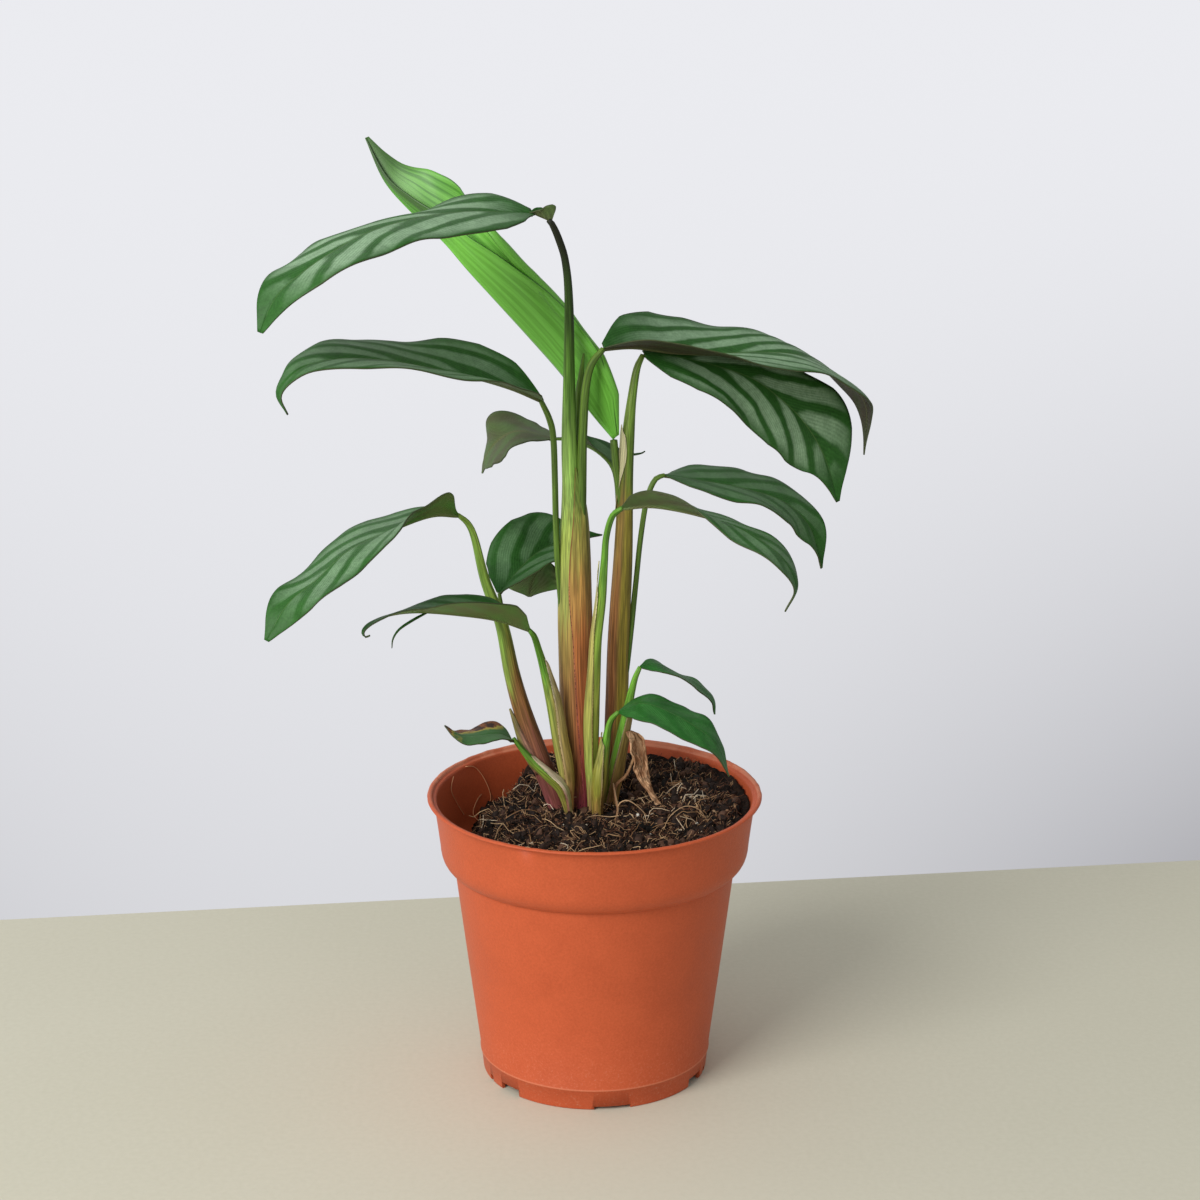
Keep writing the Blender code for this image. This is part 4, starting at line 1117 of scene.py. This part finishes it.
def soil_height(x, y):
    """Height of the soil's top (mm) at a place; it falls away at its left and its left rear."""
    radius = math.hypot(x, y)
    angle = math.degrees(math.atan2(y, x)) % 360
    steps = np.linspace(0, 360, 25)
    wall = np.interp(angle, steps, SOIL_WALL + SOIL_WALL[:1])
    mid = np.interp(angle, steps, SOIL_MID + SOIL_MID[:1])
    out = ramp((radius - 30) / 16)
    near = ramp((radius - 12) / 16)
    base = (SOIL_AXIS * (1 - near) + mid * near) * (1 - out) + wall * out
    behind = (4 - 0.894 * (x + 26) + 0.447 * (y - 40)) / 6
    beside = (-36 - x) / 5
    hollow = ramp(max(behind, beside))
    floor = HOLLOW_Z - 5.5 * ramp(beside)
    base = base * (1 - hollow) + min(base, floor) * hollow
    p = Vector((x, y, 0))
    lumps = 2.4 * noise.noise(p * 0.09) + 2.0 * noise.noise(p * 0.22 + Vector((5, 1, 2)))
    fine = 1.7 * noise.noise(p * 0.42) + 0.9 * noise.noise(p * 1.1)
    return base + (0.35 + 0.65 * near) * (lumps + fine)


def soil_point(r, angle, gap):
    """A point on the soil's top (mm), at least this gap away from the pot's wall."""
    x, y = r * math.cos(angle), r * math.sin(angle)
    z = soil_height(x, y)
    push = min(r, wall_radius(z) - gap) / r
    return x * push, y * push, z


def make_soil(mat, rings=110, sectors=240):
    """Ball of peat: its uneven top, and its sides down to the pot's floor."""
    verts = [(0, 0, soil_height(0, 0))]
    for k in range(1, rings + 1):
        verts += [soil_point(SOIL_RADIUS * k / rings, angle, 0.15) for angle in turns(sectors)]
    rim = verts[-sectors:]
    below = ((48.9, 77.4), (47.8, 75.4), (44.9, 70.8), (36.6, 9.0), (36.0, SOIL_FOOT))
    for r, z in below:
        for angle, edge in zip(turns(sectors), rim):
            z = min(z, edge[2] - 0.2)
            r = min(r, wall_radius(z) - 0.3) if z > 70 else r
            verts.append((r * math.cos(angle), r * math.sin(angle), z))
    verts.append((0, 0, SOIL_FOOT))
    faces = []
    loops = rings + len(below)
    for i in range(sectors):
        j = (i + 1) % sectors
        faces.append((0, 1 + i, 1 + j))
        faces.append((len(verts) - 1, 1 + (loops - 1) * sectors + j, 1 + (loops - 1) * sectors + i))
        for k in range(loops - 1):
            a = 1 + k * sectors
            faces.append((a + i, a + sectors + i, a + sectors + j, a + j))
    obj = add_mesh("peat", np.array(verts) * MM, faces, [mat])
    settle(obj, "soil", "soil")


def soil_patch(name, reach, rings=30, sectors=72):
    """Working sheet over the soil out to a radius, for the litter to lie on."""
    verts = []
    for k in range(rings + 1):
        verts += [soil_point(1 + (reach - 1) * k / rings, angle, 3.0) for angle in turns(sectors)]
    faces = []
    for k in range(rings):
        for i in range(sectors):
            j = (i + 1) % sectors
            faces.append((k * sectors + i, (k + 1) * sectors + i, (k + 1) * sectors + j, k * sectors + j))
    return add_mesh(name, np.array(verts) * MM, faces, [])


# ---------------------------------------------------------------- litter

def new_tree(name, sizes):
    """A geometry tree with a surface, a material and named sizes coming in."""
    tree = bpy.data.node_groups.new(name, "GeometryNodeTree")
    tree.interface.new_socket("Geometry", in_out="OUTPUT", socket_type="NodeSocketGeometry")
    sockets = {"Surface": "Geometry", "Material": "Material", **dict.fromkeys(sizes, "Float"), "Seed": "Int"}
    for label, kind in sockets.items():
        tree.interface.new_socket(label, in_out="INPUT", socket_type="NodeSocket" + kind)
    entry = tree.nodes.new("NodeGroupInput")
    return tree, {socket.name: Wire(tree, socket) for socket in entry.outputs if socket.name}


def finish_tree(tree, inputs, mesh):
    done = mesh.node("GeometryNodeSetMaterial", {"Geometry": mesh, "Material": inputs["Material"]})
    leave = tree.nodes.new("NodeGroupOutput")
    tree.links.new(done.socket, leave.inputs[0])
    return tree


def chance(seed, low, high, number=0):
    """A random value for each bit; each number gives another one."""
    return seed.node("FunctionNodeRandomValue", {2: low, 3: high, 8: seed + number}, 1, data_type="FLOAT")


def strewn(inputs, shape, turn, scale):
    """Copies of a shape on random points of the surface, each with its own tint."""
    seed = inputs["Seed"]
    points = seed.node("GeometryNodeDistributePointsOnFaces",
                       {"Mesh": inputs["Surface"], "Density": inputs["Density"], "Seed": seed},
                       distribute_method="RANDOM")
    bits = seed.node("GeometryNodeInstanceOnPoints",
                     {"Points": points, "Instance": shape, "Rotation": turn, "Scale": scale})
    marked = seed.node("GeometryNodeStoreNamedAttribute",
                       {"Geometry": bits, "Name": "tint", "Value": chance(seed, 0.0, 1.0, 7)},
                       data_type="FLOAT", domain="INSTANCE")
    return seed.node("GeometryNodeRealizeInstances", {"Geometry": marked})


def shaken(bits, scale, detail, middle, share):
    """Bits with their points moved by noise about a middle value, times a share."""
    noise_color = bits.node("ShaderNodeTexNoise", {"Scale": scale, "Detail": detail}, 1)
    shift = bits.node("ShaderNodeVectorMath", {0: noise_color, 1: middle}, operation="SUBTRACT")
    return bits.node("GeometryNodeSetPosition", {"Geometry": bits, "Offset": shift.scaled(share)})


def crumb_tree():
    """Irregular lumps, from Smallest to Largest across."""
    tree, inputs = new_tree("crumbs", ("Density", "Smallest", "Largest"))
    seed = inputs["Seed"]
    ball = seed.node("GeometryNodeMeshIcoSphere", {"Radius": 0.5, "Subdivisions": 2})
    turn = seed.vector(*[chance(seed, 0.0, 6.28, i) for i in range(3)])
    pick = chance(seed, 0.0, 1.0, 3) ** 3.0
    size = inputs["Smallest"] + (inputs["Largest"] - inputs["Smallest"]) * pick
    scale = seed.vector(size, size * chance(seed, 0.5, 1.0, 4), size * chance(seed, 0.4, 0.9, 5))
    lumps = strewn(inputs, ball, turn, scale)
    return finish_tree(tree, inputs, shaken(lumps, 1300.0, 2.0, (0.5, 0.5, 0.5), inputs["Largest"] * 0.4))


def fibre_tree():
    """Bent threads of a Length and a Radius, that Curl by noise and Tilt up from the surface."""
    tree, inputs = new_tree("fibres", ("Density", "Length", "Radius", "Curl", "Tilt"))
    seed = inputs["Seed"]
    line = seed.node("GeometryNodeCurvePrimitiveLine", {"Start": (-0.5, 0, 0), "End": (0.5, 0, 0)})
    line = seed.node("GeometryNodeResampleCurve", {"Curve": line, "Count": 7})
    turn = seed.vector(0.0, inputs["Tilt"] * chance(seed, -1.0, 1.0, 1), chance(seed, 0.0, 6.28, 2))
    size = inputs["Length"] * (0.25 + 0.75 * chance(seed, 0.0, 1.0, 3) ** 2.0)
    threads = strewn(inputs, line, turn, seed.vector(size, size, size))
    threads = shaken(threads, 150.0, 1.5, (0.5, 0.5, 0.42), inputs["Curl"])
    ring = seed.node("GeometryNodeCurvePrimitiveCircle", {"Resolution": 3, "Radius": inputs["Radius"]})
    mesh = seed.node("GeometryNodeCurveToMesh",
                     {"Curve": threads, "Profile Curve": ring, "Fill Caps": True})
    return finish_tree(tree, inputs, mesh)


def strew(name, surface, tree, mat, seed, **sizes):
    """Bits strewn over a surface, made into one plain mesh."""
    obj = add_object(name, surface.data.copy())
    step = obj.modifiers.new("strew", "NODES")
    step.node_group = tree
    sockets = {item.name: item.identifier for item in tree.interface.items_tree if item.in_out == "INPUT"}
    for label, value in {"Material": mat, "Seed": seed, **sizes}.items():
        step[sockets[label]] = value
    take_shape(obj, step)
    settle(obj, "soil")


def make_litter():
    """Crumbs, bark, threads, roots and perlite on the soil; densities are for each square metre."""
    bed = soil_patch("litter_bed", 47.5)
    middle = soil_patch("root_bed", 38)
    crumbs = crumb_tree()
    fibres = fibre_tree()
    dark = litter_paint("crumb", ((0.004, 0.003, 0.002), (0.02, 0.011, 0.008), (0.1, 0.05, 0.03)))
    bark = litter_paint("bark_chip", ((0.03, 0.014, 0.008), (0.2, 0.09, 0.045), (0.6, 0.42, 0.25)))
    russet = litter_paint("peat_fibre", ((0.02, 0.01, 0.006), (0.14, 0.055, 0.028), (0.55, 0.34, 0.18)))
    straw = litter_paint("straw_root", ((0.34, 0.18, 0.08), (0.66, 0.44, 0.24), (0.85, 0.72, 0.54)))
    white = litter_paint("perlite_grain", ((0.5, 0.42, 0.32), (0.7, 0.66, 0.58), (0.8, 0.78, 0.74)), 0.9)
    strew("crumbs", bed, crumbs, dark, 3, Density=260000.0, Smallest=0.0006, Largest=0.0044)
    strew("bark_chips", bed, crumbs, bark, 5, Density=130000.0, Smallest=0.0004, Largest=0.0017)
    strew("fine_fibres", bed, fibres, russet, 11,
          Density=640000.0, Length=0.0055, Radius=0.0001, Curl=0.006, Tilt=0.9)
    strew("standing_fibres", bed, fibres, dark, 41,
          Density=90000.0, Length=0.006, Radius=0.00022, Curl=0.006, Tilt=1.5)
    strew("long_roots", middle, fibres, straw, 23,
          Density=20000.0, Length=0.015, Radius=0.00014, Curl=0.014, Tilt=0.7)
    strew("perlite", bed, crumbs, white, 31, Density=8000.0, Smallest=0.0006, Largest=0.002)
    bpy.data.objects.remove(bed)
    bpy.data.objects.remove(middle)


# ---------------------------------------------------------------- studio

def floor_paint():
    mat, paint = new_paint("table", 0.75, 0.25)
    cloud = place(paint).speckle(3.0)
    grain = place(paint).speckle(500.0)
    shade = (0.6 * cloud + 0.4 * grain).between(0.3, 0.7).tint((0.62, 0.6, 0.48), (0.67, 0.65, 0.53))
    return finished(mat, shade, normal=grain.relief(0.0001, 0.3))


def make_floor():
    """Table top that ends behind the pot, along a slightly sloping line."""
    rise = TABLE_SLOPE * TABLE_SIDE
    verts = [(-TABLE_SIDE, TABLE_FRONT, 0), (TABLE_SIDE, TABLE_FRONT, 0),
             (TABLE_SIDE, TABLE_END + rise, 0), (-TABLE_SIDE, TABLE_END - rise, 0)]
    top = add_mesh("table_top", verts, [(0, 1, 2, 3)], [floor_paint()])


def studio_world():
    """Pale backdrop that darkens away from the horizon, and a fill of light that is its own."""
    world = bpy.data.worlds.new("studio")
    scene.world = world
    world.use_nodes = True
    tree = world.node_tree
    tree.nodes.clear()
    paint = Wire(tree)
    x, _, z = paint.node("ShaderNodeTexCoord", None, "Generated").axes()
    fall = z * z * (1.18 + 3.8 * x + 19.0 * x * x)
    shade = (fall / 0.4).tint((0.83, 0.835, 0.87), (0.43, 0.43, 0.455))
    seen = paint.node("ShaderNodeBackground", {0: shade, 1: 1.0})
    fill = (0.5 - 0.5 * x).tint((0.32, 0.32, 0.32), (0.73, 0.735, 0.745))
    around = paint.node("ShaderNodeBackground", {0: fill, 1: 1.0})
    camera_ray = paint.node("ShaderNodeLightPath", None, "Is Camera Ray")
    both = paint.node("ShaderNodeMixShader", {0: camera_ray, 1: around, 2: seen})
    out = tree.nodes.new("ShaderNodeOutputWorld")
    tree.links.new(both.socket, out.inputs[0])


def make_lamp():
    """Large soft lamp up at the front left, aimed at the middle of the plant."""
    lamp = bpy.data.lights.new("key", "AREA")
    lamp.shape = "SQUARE"
    lamp.size = 0.9
    lamp.energy = 22.0
    lamp.color = (1.0, 0.99, 0.97)
    spot = Vector((-0.95, -1.13, 1.0))
    aim = Vector((0.0, 0.0, 0.13))
    obj = add_object("key", lamp)
    obj.location = spot
    obj.rotation_euler = (aim - spot).to_track_quat("-Z", "Y").to_euler()


def make_camera():
    lens = bpy.data.cameras.new("camera")
    lens.lens = CAMERA_LENS
    lens.sensor_width = CAMERA_SENSOR
    obj = add_object("camera", lens)
    obj.location = CAMERA_PLACE
    obj.rotation_euler = (math.radians(CAMERA_TILT), 0.0, 0.0)
    scene.camera = obj


# ---------------------------------------------------------------- build

def build_blades():
    top = blade_paint("striped_blade", (0.029, 0.115, 0.02), (0.24, 0.385, 0.225))
    under = underside_paint("blade_underside", (0.1, 0.175, 0.045), (0.1, 0.115, 0.045))
    # Darker copy of the underside paint: its purple-brown is the blade's own, its darkness partly painted
    # shade.
    dusky = underside_paint("dusky_underside", (0.055, 0.07, 0.022), (0.06, 0.05, 0.022))
    rim = edge_paint()
    young = young_paint("young_blade", (0.16, 0.48, 0.06), (0.28, 0.68, 0.12))
    young_under = young_paint("young_blade_outside", (0.14, 0.44, 0.045), (0.19, 0.56, 0.07))
    young_rim = young_paint("young_edge", (0.04, 0.14, 0.02), (0.08, 0.24, 0.04))
    small = blade_paint("plain_blade", (0.022, 0.13, 0.02), (0.07, 0.22, 0.06))
    # Lighter copies of the underside paint: partly their own green, partly painted light for blades that sit
    # in shade.
    green_under = underside_paint("green_underside", (0.1, 0.3, 0.04), (0.14, 0.22, 0.05))
    pale_under = underside_paint("pale_underside", (0.17, 0.34, 0.08), (0.2, 0.27, 0.09))
    dry = dead_paint("dry_blade", (0.44, 0.21, 0.1), (0.88, 0.56, 0.32))
    looks = {"leaf_upper_right": ((top, dusky, rim), "leaf"),
             "leaf_new": ((young, young_under, young_rim), "new_leaf"),
             "leaf_lower_left": ((top, green_under, rim), "leaf"),
             "leaf_low_left": ((top, pale_under, rim), "leaf"),
             "leaf_back_left": ((under, under, rim), "leaf"),
             "leaf_back_low": ((pale_under, pale_under, rim), "leaf"),
             "leaf_small_upper": ((small, under, rim), "leaf"),
             "leaf_small_lower": ((small, under, rim), "leaf"),
             "leaf_burnt": ((burnt_paint(), under, rim), "burnt_leaf"),
             "leaf_dead": ((dry, dry, dry), "dead_leaf")}
    for number, (node, leaf) in enumerate(LEAVES.items()):
        mats, slot = looks.get(node, ((top, under, rim), "leaf"))
        blade(node.replace("leaf", "blade"), node, leaf, mats, slot, number + 1.5)


def build_stalks():
    mats = {node: stalk_paint(*look) for node, look in STALK_LOOKS.items()}
    mats["stem_dead"] = dead_paint("dry_stalk", (0.34, 0.17, 0.08), (0.7, 0.46, 0.24))
    slots = {"leaf_rolled": "new_leaf", "sheath_left": "sheath", "stem_dead": "dead_leaf"}
    for number, (node, points) in enumerate(STEMS.items()):
        slot = slots.get(node, "petiole" if node.startswith("petiole") else "stem")
        name = node.replace("stem", "stalk").replace("petiole", "leafstalk")
        name = name.replace("leaf_rolled", "rolled_blade").replace("sheath", "sheath_tip")
        usual = mats["thin"] if slot in ("petiole", "new_leaf") else mats["short"]
        stalk(name, points, mats.get(node, usual), slot, number * 1.7, [node])


def build_roots():
    # Each root's right side is darker than its left, partly painted shade.
    mat = stalk_paint("root", ((80, 0.6, 0.4, 0.22),), ((80, 0.36, 0.18, 0.08),))
    pale = stalk_paint("wall_root", ((80, 0.95, 0.46, 0.24),), ((80, 0.9, 0.4, 0.2),))
    for number, (name, points) in enumerate(TWIGS.items()):
        stalk(name, points, mat, "soil", number * 2.3, sides=10)
    for number, root in enumerate(WALL_ROOTS):
        points = []
        for degrees, z in root:
            r, a = wall_radius(z) - 0.3, math.radians(degrees)
            points.append((r * math.cos(a), r * math.sin(a), z, 0.14))
        stalk("wall_root_" + str(number + 1), points, pale, "soil", number * 3.1, sides=8)


def build_sheaths():
    for number, (name, (node, *run)) in enumerate(SHEATHS.items()):
        mat = sheath_paint(*SHEATH_LOOKS[name])
        sheath("sheath_" + name, STEMS[node], *run, mat, 3.3 * number)


def paint_crown():
    """The rootstock is shown as it is in the model, with its own paint."""
    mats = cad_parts["crown"].data.materials
    mats.clear()
    mats.append(peat_paint("rootstock", (0.05, 0.02, 0.015), (0.2, 0.06, 0.05), 200.0))


make_camera()
studio_world()
make_lamp()
make_floor()
make_pot(pot_paint())
make_soil(peat_paint("peat", (0.006, 0.004, 0.003), (0.05, 0.026, 0.016), 260.0))
paint_crown()
make_litter()
build_roots()
build_blades()
build_stalks()
build_sheaths()

scene.view_settings.view_transform = "Standard"
